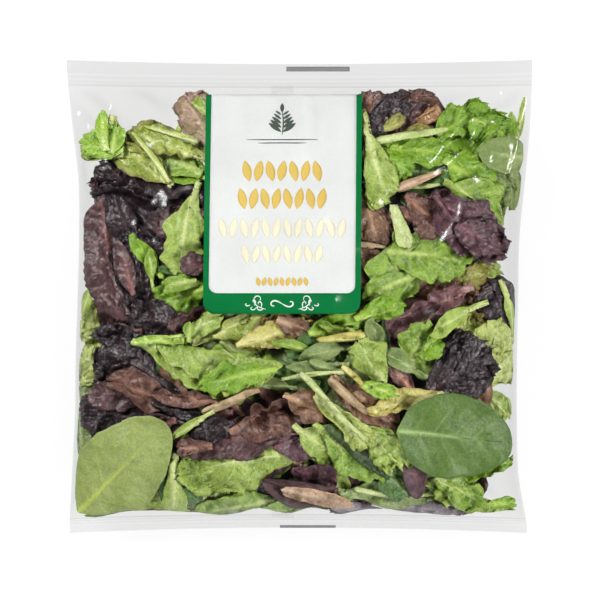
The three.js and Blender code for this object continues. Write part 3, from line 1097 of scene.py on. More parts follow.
# The leaves that show through the front panel, from the bottom of the heap to its top:
# kind, tone, where its base and its tip lie, width, and how it is bent, folded or rolled
SEEN = [
    # Along the left side
    ("romaine", "grey_green", (-100, -60), (-120, -48), 18, {}),
    ("romaine", "grey_green", (-112, -100), (-120, -62), 14, {}),
    ("frill", "pale_green", (-98, -40), (-119, -32), 30, {}),
    ("frill", "pale_green", (-102, -18), (-118, -12), 22, {}),
    ("narrow", "light", (-110, 8), (-117, -10), 8, {}),

    # The dark leaves at the left
    ("chard", "plum", (-60, 36), (-108, 48), 42, {"bend": 20}),
    ("frill", "ink", (-80, 55), (-107, 71), 27, {"calm": 1.3}),
    ("chard", "ink", (-54, 56), (-94, 72), 34, {"calm": 0.7, "fold": (0, 50)}),
    ("frill", "violet", (-48, 66), (-72, 64), 14, {}),
    ("chard", "ink", (-54, 36), (-78, 62), 36, {"bend": -10, "calm": 0.8}),
    ("chard", "ink", (-66, 32), (-111, 57), 24, {"bend": 25, "fold": (40, 0)}),
    ("frill", "plum", (-50, 44), (-74, 34), 24, {}),

    # At the top left
    ("frill", "blush", (-46, 80), (-61, 109), 24, {"calm": 0.6}),
    ("frill", "light", (-47, 98), (-58, 105), 7, {}),
    ("romaine", "vivid", (-47, 62), (-74, 77), 20, {}),
    ("romaine", "bright", (-52, 66), (-93, 86), 24, {}),
    ("romaine", "yellow_green", (-49, 73), (-92, 89), 20, {"fold": (0, 50)}),
    ("romaine", "yellow_green", (-67, 59), (-99, 86), 23, {"fold": (50, 0), "bend": -8}),
    ("stalk", "pale_green", (-69, 61), (-90, 88), 3.4, {"bend": 8}),
    ("stalk", "pale_green", (-55, 83), (-82, 91), 3.0, {}),
    ("romaine", "light", (-93, 77), (-118, 77), 10, {}),
    ("frill", "lime", (-94, 79), (-118, 82), 15, {"calm": 1.3}),
    ("frill", "lime", (-100, 78), (-98, 94), 15, {"calm": 1.3}),
    ("romaine", "lime", (-103, 79), (-106, 99), 8, {"bend": -12}),

    # Left of the label, and below it
    ("chard", "plum", (-106, 53), (-99, -26), 30, {"bend": -8, "calm": 0.45, "cut": 0.34}),
    ("chard", "ink", (-88, 26), (-101, 54), 17, {"calm": 0.7}),
    ("frill", "ink", (-80, -20), (-86, 36), 30, {"bend": -15}),
    ("chard", "plum", (-88, 0), (-97, 30), 12, {"calm": 0.6}),
    ("narrow", "vivid", (-71, 8), (-89, 33), 9, {"bend": -10}),
    ("narrow", "bright", (-78, 4), (-80, 26), 7, {}),
    ("chard", "deep", (-48, 14), (-76, 15), 9, {}),
    ("oak", "light", (-54, 61), (-64, 12), 25, {"bend": 16, "calm": 0.7}),
    ("romaine", "vivid", (-46, 6), (-76, -4), 22, {}),
    ("romaine", "bright", (-54, 8), (-72, 6), 9, {}),
    ("frill", "plum", (-47, 14), (-63, 19), 13, {}),
    ("frill", "ink", (-62, -16), (-92, -8), 20, {}),
    ("chard", "plum", (-46, -6), (-70, -18), 18, {"roll": 5}),
    ("frill", "plum", (-84, -18), (-106, -24), 18, {}),
    ("chard", "plum", (-90, -44), (-108, -46), 16, {}),
    ("frill", "ink", (-76, -44), (-105, -26), 35, {"calm": 1.3}),
    ("chard", "ink", (-60, -68), (-119, -60), 44, {"calm": 1.4}),
    ("chard", "plum", (-78, -50), (-114, -54), 17, {}),
    ("chard", "russet", (-68, -60), (-102, -44), 22, {"bend": 20, "fold": (0, 45)}),
    # a dark leaf that paints the shadow of a hollow in the heap
    ("chard", "hollow_shadow", (-78, -57), (-50, -64), 9, {}),
    ("chard", "russet", (-44, -56), (-77, -51), 13, {"fold": (50, 0)}),
    ("chard", "plum", (-66, -66), (-88, -74), 15, {}),

    # Across the middle
    ("frill", "rust", (33, 56), (42, 28), 22, {}),
    ("chard", "rust", (28, 26), (42, 8), 22, {}),
    ("stalk", "blush", (30, 27.5), (46, 26.5), 3, {}),
    ("romaine", "deep", (24, -8), (-48, -11), 22, {}),
    ("chard", "deep", (-6, -52), (20, -30), 26, {}),
    ("narrow", "deep", (10, -46), (-22, -38), 13, {}),
    ("narrow", "grey_green", (2, -50), (-26, -46), 9, {"bend": 14}),
    ("romaine", "light", (-90, -24), (-12, -36), 50, {"fold": (0, 168), "bend": -6, "calm": 0.5}),
    ("romaine", "lime", (-62, -22), (-90, -25), 6, {"bend": 10}),
    ("romaine", "yellow_green", (-57, -24), (-16, -8), 14, {"bend": 6}),
    ("frill", "light", (-60, -20), (-42, -10), 10, {}),
    ("frill", "olive", (-32, -25), (6, -13), 22, {"calm": 0.7}),
    ("frill", "straw", (-34, -26), (4, -15), 15, {"calm": 0.7}),
    ("frill", "rust", (-12, -12), (8, -20), 10, {}),
    ("narrow", "bright", (-59, -25), (-58, -13), 6.5, {}),
    ("narrow", "deep", (22, -22), (-8, -30), 12, {}),
    ("narrow", "bright", (14, -33), (-14, -24), 6, {"bend": 20}),
    ("narrow", "grey_green", (30, -27), (0, -33), 11, {"bend": 20}),
    ("narrow", "grey_green", (26, -36), (-8, -37), 8, {}),
    ("narrow", "grey_green", (27, -40), (6, -35), 8, {"bend": -24}),
    ("stalk", "stem", (25, -40), (-10, -43.5), 2.6, {"bend": 6}),
    ("frill", "vivid", (4, -20), (36, -13), 17, {}),
    ("romaine", "bright", (34, -20), (12, -15), 10, {"fold": (60, 0)}),
    ("stalk", "straw", (36, -21.5), (9, -23), 5, {}),
    ("oak", "vivid", (-12, -38.5), (-52, -47), 22, {"fold": (30, 0), "bend": 10, "calm": 0.7}),

    # At the top right
    ("chard", "deep", (38, 86), (78, 91), 18, {}),
    ("frill", "russet", (50, 84), (56, 112), 44, {"calm": 1.2}),
    ("frill", "russet", (38, 90), (38, 111), 16, {}),
    ("frill", "plum", (52, 88), (72, 101), 20, {"calm": 1.3}),
    ("frill", "ink", (36, 88), (56, 105), 18, {"calm": 1.3}),
    ("frill", "olive", (46, 90), (58, 96), 9, {}),
    ("frill", "orange", (64, 95), (75, 102), 9, {"calm": 1.3}),
    ("narrow", "light", (113, 78), (122, 107), 5, {"bend": 16}),
    ("narrow", "light", (114, 80), (114, 99), 6, {}),
    ("romaine", "olive", (54, 84), (72, 90), 13, {}),
    ("frill", "jade", (74, 78), (110, 97), 27, {}),
    ("frill", "vivid", (74, 88), (92, 98), 18, {"calm": 0.8}),
    ("frill", "jade", (92, 96), (112, 84), 22, {}),
    ("frill", "vivid", (84, 72), (116, 80), 26, {}),
    ("narrow", "grey_green", (113, 86), (114, 46), 16, {}),
    ("frill", "grey_green", (102, 72), (108, 47), 18, {"calm": 0.6}),
    ("romaine", "deep", (86, 66), (40, 70), 20, {}),
    ("romaine", "vivid", (36, 82), (82, 76), 19, {"fold": (0, 30)}),
    ("frill", "jade", (46, 74), (60, 66), 14, {}),
    ("oak", "vivid", (78, 72), (106, 56), 28, {}),
    ("oak", "bright", (78, 62), (108, 44), 30, {}),
    ("frill", "light", (96, 46), (105, 34), 12, {}),
    ("spinach", "grey_green", (123, 74), (96, 78), 20, {"calm": 0.8}),
    ("stalk", "stem", (37, 82), (79, 90), 4, {"bend": -8}),
    ("stalk", "stem", (48, 60), (74, 60), 3, {"bend": 12}),
    ("stalk", "rib_brown", (52, 57), (77, 67), 5.5, {"bend": -10}),
    ("romaine", "light", (35, 78), (42, 47), 13, {"bend": -8}),
    ("wedge", "light", (34, 99), (47, 51), 21, {"bend": 6}),

    # Down the right side
    ("chard", "ink", (98, 14), (115, -20), 24, {}),
    ("narrow", "light", (107, 10), (117, -26), 8, {"bend": -20}),
    ("frill", "light", (96, 18), (108, 13), 10, {}),
    ("frill", "rust", (52, -6), (98, 12), 24, {}),
    ("frill", "olive", (74, 4), (100, 14), 14, {}),
    ("chard", "wine", (48, -10), (86, -22), 22, {}),
    ("frill", "rust", (48, 6), (86, 10), 20, {}),
    ("chard", "violet", (94, 6), (46, -18), 26, {"roll": 6}),
    ("oak", "bright", (52, 34), (52, -3), 34, {"calm": 0.8}),
    ("romaine", "bright", (62, 12), (36, -1), 17, {"bend": 8}),
    ("romaine", "bright", (46, 24), (92, 19), 29, {"bend": -8, "cut": 0.2, "calm": 0.8}),
    ("wedge", "stem", (50, 49), (57, 27), 10, {"calm": 0.6, "cut": 0.3}),
    ("frill", "russet", (56, 54), (76, 37), 22, {"calm": 1.2}),
    ("oak", "wine", (70, 56), (104, 28), 34, {"bend": 14}),
    ("frill", "wine", (83, 39), (107, 25), 23, {"calm": 1.5}),
    ("stalk", "wine_rib", (73, 54), (82, 39), 2.4, {"bend": 8}),
    ("romaine", "vivid", (30, -12), (57, -5), 14, {"bend": -14}),
    ("frill", "olive", (86, -30), (92, -8), 24, {}),
    ("frill", "yellow_green", (82, -26), (91, -9), 19, {"calm": 1.2}),
    ("romaine", "pale_green", (95, -48), (107, -12), 26, {"calm": 0.7}),
    ("frill", "pale_green", (98, -48), (114, -30), 20, {"calm": 0.7}),
    ("romaine", "light", (98, -50), (113, -64), 18, {}),
    ("chard", "rust", (100, -60), (84, -40), 20, {}),
    ("frill", "plum", (66, -56), (92, -44), 30, {}),
    ("frill", "ink", (68, -52), (100, -27), 38, {"calm": 1.5}),
    ("chard", "chard", (62, -52), (48, -36), 12, {"fold": (30, 0)}),
    ("oak", "bright", (58, -38), (66, -14), 24, {}),
    ("frill", "vivid", (62, -34), (74, -22), 12, {}),
    ("narrow", "light", (100, -3), (70, -21), 10, {"bend": 24}),
    # a dark leaf that paints the shade of a gap in the heap
    ("narrow", "shade", (45, -46), (45, -14), 7, {}),
    ("narrow", "grey_green", (67, -42), (44, -29), 13, {"arch": 4}),
    ("narrow", "grey_green", (41, -34), (38, -11), 12, {"bend": 30, "fold": (30, 0)}),
    ("oak", "light", (48, -51), (31, -23), 20, {"calm": 0.8}),

    # Across the bottom
    ("frill", "bright", (-78, -104), (-114, -117), 24, {}),
    ("frill", "pale_green", (-58, -106), (-92, -119), 22, {"calm": 1.5}),
    ("frill", "pale_green", (-40, -104), (-74, -118), 24, {"calm": 1.5}),
    ("romaine", "bright", (-8, -108), (-56, -117), 17, {"calm": 1.3}),
    ("romaine", "bright", (28, -108), (-18, -116), 12, {}),
    ("chard", "ash", (40, -110), (84, -116), 13, {}),
    ("chard", "ash", (16, -112), (44, -117), 9, {}),
    ("frill", "light", (84, -110), (115, -115), 10, {}),
    ("frill", "vivid", (98, -111), (117, -111), 8, {}),
    ("romaine", "grey_green", (20, -104), (70, -108), 16, {}),
    ("stalk", "stem", (30, -103), (72, -106), 3, {"bend": 20}),
    ("frill", "light", (64, -84), (90, -108), 26, {}),
    ("frill", "vivid", (74, -98), (113, -84), 18, {}),
    ("frill", "bright", (72, -96), (98, -112), 20, {}),
    ("oak", "light", (-66, -86), (-80, -119), 30, {}),
    ("chard", "ink", (-72, -92), (-81, -104), 9, {}),
    ("spinach", "deep", (-69, -112), (-75, -96), 8, {}),
    ("wedge", "deep", (-69, -90), (-60, -114), 24, {}),
    ("wedge", "light", (-67, -85), (-67, -120), 17, {"calm": 0.8}),
    ("oak", "deep", (42, -88), (58, -106), 24, {}),
    ("chard", "plum", (-56, -86), (-8, -84), 34, {}),
    ("romaine", "light", (6, -81), (-62, -95), 34, {"bend": 8, "calm": 0.8}),
    ("frill", "wine", (-14, -80), (16, -74), 22, {}),
    ("chard", "plum", (0, -72), (-62, -80), 24, {"bend": 8, "calm": 0.8}),
    # a dark leaf that paints the shadow of a hollow in the heap
    ("chard", "hollow_shadow", (-36, -68), (-58, -74), 14, {}),
    ("frill", "russet", (-46, -80), (-68, -81), 13, {}),
    ("chard", "russet", (-38, -72), (10, -54), 32, {"bend": -14, "fold": (0, 70)}),
    ("chard", "rust", (-8, -52), (20, -66), 20, {"fold": (30, 0)}),
    ("oak", "light", (-4, -68), (34, -92), 28, {}),
    ("oak", "bright", (8, -68), (45, -96), 26, {"bend": 10}),
    # a dark leaf that paints the shade of a gap in the heap
    ("chard", "shade", (16, -69), (46, -95), 9, {"bend": 6}),
    ("stalk", "tan", (-51, -61), (-21, -50), 4.5, {"bend": -6}),
    ("narrow", "light", (-45, -60), (-70, -76), 5.5, {"bend": -8}),
    ("chard", "rust", (18, -42), (54, -70), 22, {"fold": (0, 50), "bend": 10}),
    ("stalk", "tan", (16, -43), (36, -62), 6, {"bend": 8}),
    ("romaine", "straw", (76, -52), (38, -60), 15, {"fold": (0, 40)}),
    ("frill", "lime", (32, -46), (52, -52), 11, {}),
    ("stalk", "straw", (22, -36), (34, -48), 4, {}),
    ("spinach", "wine", (60, -80), (63, -108), 14, {"calm": 0.5}),
    ("frill", "wine", (-4, -92), (18, -101), 18, {}),
    ("spinach", "plum", (20, -103), (-19, -98), 28, {"fold": (110, 0)}),
    ("romaine", "rib_brown", (-10, -103), (27, -111), 9, {"cut": 0.3}),
    ("frill", "light", (30, -66), (55, -91), 22, {"bend": -8}),
    ("wedge", "pale_green", (10, -51), (37, -80), 17, {"cut": 0.2}),
    ("stalk", "stem", (0, -41), (18, -58), 3.4, {"bend": -8}),
    ("stalk", "stem", (16, -56), (34, -76), 3.2, {}),
    ("spinach", "spinach_back", (-119, -116), (-71, -67), 46, {"flip": True, "calm": 0.45}),
    ("spinach", "spinach_face", (52, -71.5), (115, -79), 46, {"calm": 0.6, "bend": -5}),
]

# Small leaves and torn pieces between them: the tones found near each place
NEARBY_TONES = [
    ((-100, 85), ("lime", "light", "yellow_green")),
    ((-85, 45), ("ink", "plum", "wine")),
    ((-110, -30), ("pale_green", "ink", "light")),
    ((-85, -60), ("plum", "rust", "ink")),
    ((-60, -100), ("light", "bright", "pale_green")),
    ((-60, 10), ("plum", "bright", "deep")),
    ((-30, -35), ("deep", "light", "bright")),
    ((-25, -70), ("plum", "chard", "rust")),
    ((10, -100), ("plum", "bright", "light")),
    ((20, -30), ("grey_green", "deep", "vivid")),
    ((55, 95), ("jade", "rust", "plum")),
    ((100, 75), ("vivid", "jade", "grey_green")),
    ((55, 50), ("rust", "chard", "light")),
    ((95, 35), ("wine", "violet", "bright")),
    ((95, 0), ("ink", "rust", "olive")),
    ((55, -25), ("bright", "deep", "wine")),
    ((100, -40), ("pale_green", "ink", "bright")),
    ((60, -70), ("rust", "straw", "plum")),
    ((95, -100), ("light", "vivid", "bright")),
]
SCRAP_KINDS = ("frill", "romaine", "chard", "oak", "romaine")
SCRAP_COUNT = 90
SCRAP_FIELD = np.array([(-106, -108), (102, 92)])
SCRAP_ROOM = 6  # how far outside the field a leaf's ends may lie
SCRAP_LENGTHS = (24, 38)
SCRAP_WIDTHS = (0.45, 0.7)
SCRAP_FOLDS = (0, 0, 60)
SCRAP_FLIPPED = 0.3

# Leaves deeper in the bag and along its back, drawn at random
DEEP_KINDS = ("chard", "romaine", "frill", "oak", "spinach", "chard", "romaine")
DEEP_TONES = ("deep", "plum", "bright", "ink", "grey_green", "rust", "deep", "wine")
BACK_TONES = ("light", "plum", "bright", "ink", "grey_green", "rust", "vivid", "wine", "spinach_back")
DEEP_FRONT_COUNT = 48
DEEP_BACK_COUNT = 28
BACK_COUNT = 44
DEEP_FIELD = np.array([(-100, -108), (96, 66)])
DEEP_ROOM = 8
DEEP_LENGTHS = (38, 60)
DEEP_WIDTHS = (0.45, 0.75)
DEEP_FLIPPED = 0.4
PLACE_IN_CELL = (0.1, 0.9)
MOST_BEND = 30
BARE_PLACE = np.array((112, -101))  # a corner with no leaves
BARE_REACH = 30
CORE_LOW = (-94, -106)
CORE_HIGH = (88, 62)
CORE_STEP = 2.0
CORE_BUMPS = ((1, 26), (0.5, 9))
CORE_SWELL = 1.2
CORE_EDGE = 0.2  # half its thickness at its edge
CORE_SQUARENESS = 8
LEAST_CORE = 0.1


def keep_off(place):
    """A place moved out of the bare corner."""
    away = place - BARE_PLACE
    return BARE_PLACE + away * max(1, BARE_REACH / np.linalg.norm(away))


def random_places(count, field_ends):
    """Places spread evenly, one in each cell of a shuffled grid, each drawn when it is asked for."""
    low, high = field_ends
    columns = math.ceil(math.sqrt(count))
    for cell in rng.permutation(columns * columns)[:count]:
        share = (np.array([cell % columns, cell // columns]) + rng.uniform(*PLACE_IN_CELL, 2)) / columns
        yield low + share * (high - low)


def leaf_ends(middle, length, turn, field_ends, room):
    """A leaf's base and tip about its middle, kept near the field and off the bare corner."""
    low, high = field_ends
    half = np.array([math.cos(turn), math.sin(turn)]) * length / 2
    return [keep_off(np.clip(end, low - room, high + room)) for end in (middle - half, middle + half)]


def any_of(choices):
    return choices[rng.integers(len(choices))]


def lay_at_random(heap, count, tones, grain):
    for middle in random_places(count, DEEP_FIELD):
        turn = rng.uniform(0, 2 * math.pi)
        length = rng.uniform(*DEEP_LENGTHS)
        base, tip = leaf_ends(middle, length, turn, DEEP_FIELD, DEEP_ROOM)
        kind = any_of(DEEP_KINDS)
        tone = any_of(tones)
        heap.lay(kind, tone, base, tip, length * rng.uniform(*DEEP_WIDTHS), grain=grain,
                 bend=rng.uniform(-MOST_BEND, MOST_BEND), flip=bool(rng.random() < DEEP_FLIPPED))


def scatter_scraps(heap):
    """Small leaves in the tones of their place."""
    for middle in random_places(SCRAP_COUNT, SCRAP_FIELD):
        away = [math.dist(middle, place) for place, _ in NEARBY_TONES]
        tones = NEARBY_TONES[int(np.argmin(away))][1]
        length = rng.uniform(*SCRAP_LENGTHS)
        turn = rng.uniform(0, 2 * math.pi)
        base, tip = leaf_ends(middle, length, turn, SCRAP_FIELD, SCRAP_ROOM)
        kind = any_of(SCRAP_KINDS)
        tone = any_of(tones)
        heap.lay(kind, tone, base, tip, length * rng.uniform(*SCRAP_WIDTHS), grain=SCRAP_GRAIN,
                 bend=rng.uniform(-MOST_BEND, MOST_BEND), fold=(rng.choice(SCRAP_FOLDS), 0),
                 flip=bool(rng.random() < SCRAP_FLIPPED))


def make_core():
    """What lies deeper than the leaves that are laid: one lumpy solid, seen only through gaps, whose dark
    tones are painted shade.
    """
    x, y = np.meshgrid(*(np.arange(low, high + 1, CORE_STEP) for low, high in zip(CORE_LOW, CORE_HIGH)))
    middle_x, middle_y = (CORE_LOW[0] + CORE_HIGH[0]) / 2, (CORE_LOW[1] + CORE_HIGH[1]) / 2
    u = (x - middle_x) / (CORE_HIGH[0] - middle_x)
    v = (y - middle_y) / (CORE_HIGH[1] - middle_y)
    round_off = np.sqrt(np.clip(1 - np.maximum(np.abs(u), np.abs(v)) ** CORE_SQUARENESS, 0, 1))
    front = film_height(x, y, True)
    back = film_height(x, y, False)
    middle = back + (front - back) * (1 + BACK_SHARE - FRONT_SHARE) / 2
    bumps = sum(size * ripple(x, y, length, rng) for size, length in CORE_BUMPS)
    half = (front - back) * (1 - BACK_SHARE - FRONT_SHARE) / 2 * round_off + CORE_EDGE
    above = np.maximum(half + (CORE_SWELL + bumps) * round_off, LEAST_CORE)
    below = np.maximum(half + (CORE_SWELL - bumps) * round_off, LEAST_CORE)
    solid = sheet_solid(np.stack([x, y, middle], axis=-1).transpose(1, 0, 2), above.T, below.T, 1)
    return new_mesh("heap_core", *solid)


def fill_bag():
    front = Heap(True)
    back = Heap(False)
    lay_at_random(front, DEEP_FRONT_COUNT, DEEP_TONES, DEEP_GRAIN)
    scatter_scraps(front)
    for kind, tone, base, tip, width, shape in SEEN:
        front.lay(kind, tone, base, tip, width, **shape)
    lay_at_random(back, DEEP_BACK_COUNT, DEEP_TONES, DEEP_GRAIN)
    lay_at_random(back, BACK_COUNT, BACK_TONES, BACK_GRAIN)
    front.settle()
    back.settle()
    return front, back


# Print: fields of colour and simple shapes just inside the front panel
PRINT_DEPTH = 0.16  # below the film's own surface
PRINT_THICKNESS = 0.05
LABEL_TOP_Y = 108.5
LABEL_BOTTOM_Y = -9.1
LABEL_TOP_X = (-50.1, 33.6)
LABEL_BOTTOM_X = (-51.2, 32.4)
BORDER = 3.0
BAND_TOP_Y = 1.9
OUTER_CORNER = 6.5
INNER_CORNER = 4.3
LABEL_MIDDLE_X = -9.2
# Rows of small leaf shapes: height of the row's middle, half its length, motif's height, how many, tone
ROWS = [
    (67.0, 21.8, 11.5, 7, "gold"),
    (52.2, 24.2, 11.5, 8, "gold"),
    (36.5, 34.5, 11.0, 12, "pale_gold"),
    (22.7, 22.2, 10.5, 8, "pale_gold"),
    (8.0, 14.2, 5.0, 9, "gold"),
]
LEAN = 0.22  # of the small leaves, to one side and the other in turn, in radians
LEAF_FATNESS = 1.55
MARKS = [((-7.0, 27.0), 122.2, 2.6), ((-10.4, 19.6), -123.6, 1.5)]  # grey strips on the seals
UNDER = 0.1  # how much deeper than the marks on it a field of colour lies
ARC_STEPS = 10
SIDE_STEPS = 60
FOOT_STEPS = 40
SPRIG_Y = (86.5, 99.0)
SPRIG_PAIRS = 5
SPRIG_SPAN = (0.12, 0.86)  # shares of the stem that carry leaves
SPRIG_REACH = 5.6  # of the lowest pair, and what each pair above it loses
SPRIG_LOSS = 0.75
SPRIG_LEAN = 0.95  # radians from upright
SPRIG_LEAF = (1.5, 0.42)  # its leaves' length and width, and how far out and up they stand, in reaches
SPRIG_PLACE = (0.62, 0.45)
SPRIG_GAP = 0.4
SPRIG_SWAY = 0.6
SPRIG_TOP = (2.2, 5.0, 2.0)  # the leaf at its top: how far above the stem, length and width
STEM_WIDTH = 0.7
RULES = ((2.6, 19.0), (4.4, 13.0))  # lines under the sprig: how far below it, and half their length
LINE = 0.55
SCROLL_Y = -3.7
SCROLL_S = (0.55, 9.5, 4.4, 2.6)  # the lying S: its lean, half its length, its turning and how late it turns
SCROLL_WIDTH = 0.8
CURL_POWER = 2.4


def label_side(y, side):
    """Where the label's left (0) or right (1) edge is at y."""
    share = (y - LABEL_BOTTOM_Y) / (LABEL_TOP_Y - LABEL_BOTTOM_Y)
    return LABEL_BOTTOM_X[side] + (LABEL_TOP_X[side] - LABEL_BOTTOM_X[side]) * share


def arc(middle, radius, start, end):
    """Points round a corner, without the first."""
    angles = np.linspace(start, end, ARC_STEPS)[1:]
    return [(middle[0] + radius * math.cos(angle), middle[1] + radius * math.sin(angle)) for angle in angles]


def u_path(inset, bottom, corner):
    """Down the label's left side, round its lower corners and up its right side."""
    left = label_side(bottom, 0) + inset
    right = label_side(bottom, 1) - inset
    path = [(label_side(y, 0) + inset, y) for y in np.linspace(LABEL_TOP_Y, bottom + corner, SIDE_STEPS)]
    path += arc((left + corner, bottom + corner), corner, math.pi, 1.5 * math.pi)
    path += [(x, bottom) for x in np.linspace(left + corner, right - corner, FOOT_STEPS)[1:]]
    path += arc((right - corner, bottom + corner), corner, 1.5 * math.pi, 2 * math.pi)
    path += [(label_side(y, 1) - inset, y) for y in np.linspace(bottom + corner, LABEL_TOP_Y, SIDE_STEPS)[1:]]
    return np.array(path)


def field(first, second, steps):
    """A patch between two matching curves."""
    share = np.linspace(0, 1, steps)[None, :, None]
    return first[:, None, :] * (1 - share) + second[:, None, :] * share


SCROLL_BRANCHES = [  # out and up, heading, length and turning, as for the right side
    ((8.6, -2.9), 0.25, 15.5, 5.2),
    ((9.6, -2.6), -0.5, 6.0, 4.6),
    ((11.2, -2.2), 1.9, 5.6, -4.4),
    ((13.4, -1.7), -0.9, 5.4, 4.4),
    ((14.8, -0.9), 2.1, 4.6, -4.2),
    ((17.0, -0.6), -0.5, 3.6, 3.6),
]


def stroke(path, width, taper=0.6):
    """A line drawn along a path, thinner towards its ends."""
    path = np.array(path)
    along = np.gradient(path, axis=0)
    along = along / np.linalg.norm(along, axis=1, keepdims=True)
    across = np.stack([-along[:, 1], along[:, 0]], axis=1)
    share = np.linspace(0, 1, len(path))
    half = width / 2 * (1 - taper * np.abs(2 * share - 1) ** 3)[:, None]
    return field(path + across * half, path - across * half, 2)


def leaf_mark(middle, length, width, turn, steps=13):
    """A small pointed oval about its middle."""
    share = np.linspace(0, 1, steps)
    x = (share - 0.5) * length
    half = width / 2 * np.sin(math.pi * share) ** 0.8 + 0.03
    c, s = math.cos(turn), math.sin(turn)
    upper = np.stack([middle[0] + x * c - half * s, middle[1] + x * s + half * c], axis=1)
    lower = np.stack([middle[0] + x * c + half * s, middle[1] + x * s - half * c], axis=1)
    return field(lower, upper, 4)


def curl(start, heading, length, turning, power, steps=44):
    """A line from a point that bends more and more, by turning radians in all."""
    share = np.linspace(0, 1, steps)
    angle = heading + turning * share**power
    step = np.stack([np.cos(angle), np.sin(angle)], axis=1) * length / (steps - 1)
    return np.array(start) + np.concatenate([[(0, 0)], np.cumsum(step[1:], axis=0)])


def sprig(middle_x, low_y, high_y):
    """A sprig of paired leaves over two rules."""
    height = high_y - low_y
    stem = [(middle_x + SPRIG_SWAY * math.sin(3 * t), low_y + height * t) for t in np.linspace(0, 1, 20)]
    marks = [stroke(stem, STEM_WIDTH)]
    for step, t in enumerate(np.linspace(*SPRIG_SPAN, SPRIG_PAIRS)):
        y = low_y + height * t
        reach = SPRIG_REACH - SPRIG_LOSS * step
        for side in (-1, 1):
            out = reach * SPRIG_PLACE[0] + SPRIG_GAP
            middle = (middle_x + side * out, y + reach * SPRIG_PLACE[1])
            length, width = (reach * share for share in SPRIG_LEAF)
            marks.append(leaf_mark(middle, length, width, math.pi / 2 - side * SPRIG_LEAN))
    above, length, width = SPRIG_TOP
    marks.append(leaf_mark((middle_x, high_y + above), length, width, math.pi / 2))
    for below, half in RULES:
        marks.append(stroke([(middle_x + half * t, low_y - below) for t in np.linspace(-1, 1, 24)], LINE))
    return marks


def scrolls(middle_x, middle_y):
    """A traditional ornament: a lying S between two stems, each with curls of several sizes."""
    lean, length, turning, power = SCROLL_S
    marks = []
    for heading in (-lean, math.pi - lean):
        marks.append(stroke(curl((middle_x, middle_y), heading, length, turning, power), SCROLL_WIDTH))
    for side, ((away, up), heading, length, turning) in itertools.product((-1, 1), SCROLL_BRANCHES):
        start = (middle_x + side * away, middle_y + up)
        turned = heading if side > 0 else math.pi - heading
        marks.append(stroke(curl(start, turned, length, side * turning, CURL_POWER), LINE))
    return marks


def label_rows(tone):
    """The small leaves of one tone."""
    marks = []
    for y, half, height, count, row_tone in ROWS:
        for step in range(count if row_tone == tone else 0):
            x = LABEL_MIDDLE_X - half + (step + 0.5) * 2 * half / count
            lean = LEAN * (-1) ** step
            marks.append(leaf_mark((x, y), height, LEAF_FATNESS * half / count, math.pi / 2 + lean))
    return marks


def print_patches():
    """Each tone of ink, with the patches printed in it and how far it lies under the one on top of it."""
    inner = u_path(BORDER, BAND_TOP_Y, INNER_CORNER)
    outer = u_path(0, LABEL_BOTTOM_Y, OUTER_CORNER)
    half = len(inner) // 2
    marks = []
    for (left, right), y, height in MARKS:
        x = np.linspace(left, right, 30)
        low, high = (np.stack([x, 0 * x + edge], 1) for edge in (y - height / 2, y + height / 2))
        marks.append(field(low, high, 3))
    return [
        ("white", [field(inner[:half], inner[::-1][:half], 40)], UNDER),
        ("green", [field(outer, inner, 8)], UNDER),
        ("gold", label_rows("gold"), 0),
        ("pale_gold", label_rows("pale_gold"), 0),
        ("sprig", sprig(LABEL_MIDDLE_X, *SPRIG_Y), 0),
        ("scroll", scrolls(LABEL_MIDDLE_X, SCROLL_Y), 0),
        ("grey", marks, 0),
    ]


INK_SHINE = 0.08  # the film over it has the gloss
INKS = {
    "white": ((208, 209, 208), 0.5),
    "green": ((0, 106, 52), 0.55),
    "gold": ((206, 176, 92), 0.35),
    "pale_gold": ((222, 216, 192), 0.4),
    "sprig": ((74, 84, 76), 0.45),
    "scroll": ((226, 232, 226), 0.45),
    "grey": ((128, 128, 128), 0.5),
}


def ink_material(name, tone, roughness):
    """Printed ink: even, with a faint mottle and a soft gloss."""
    nodes = Nodes(name)
    place = nodes.add("ShaderNodeTexCoord").outputs["Object"]
    mottle = nodes.add("ShaderNodeTexNoise", Vector=place, Scale=900.0, Detail=3.0).outputs["Fac"]
    broad = nodes.add("ShaderNodeTexNoise", Vector=place, Scale=45.0, Detail=2.0).outputs["Fac"]
    level = nodes.span(nodes.maths("ADD", mottle, broad, clamp=False), 0.6, 1.4, 0.93, 1.05)
    bump = nodes.add("ShaderNodeBump", Strength=0.15, Distance=0.0002, Height=mottle).outputs[0]
    tinted = nodes.scaled(colour(*tone)[:3], level)
    surface = nodes.add("ShaderNodeBsdfPrincipled", Base_Color=tinted, Roughness=roughness, Normal=bump,
                        Specular_IOR_Level=INK_SHINE)
    return nodes.done(surface)


def make_print():
    """One piece for each tone of ink, laid just inside the front panel."""
    made = []
    for ink, patches, under in print_patches():
        solids = []
        for patch in patches:
            x, y = patch[..., 0], patch[..., 1]
            points = np.stack([x, y, film_height(x, y) - PRINT_DEPTH - under], axis=-1)
            half = np.full(x.shape, PRINT_THICKNESS / 2)
            solids.append(sheet_solid(points, half, half, 1))
        piece = new_mesh("print_" + ink, *join_solids(solids))
        piece.data.materials.append(ink_material("ink_" + ink, *INKS[ink]))
        made.append(piece)
    return made


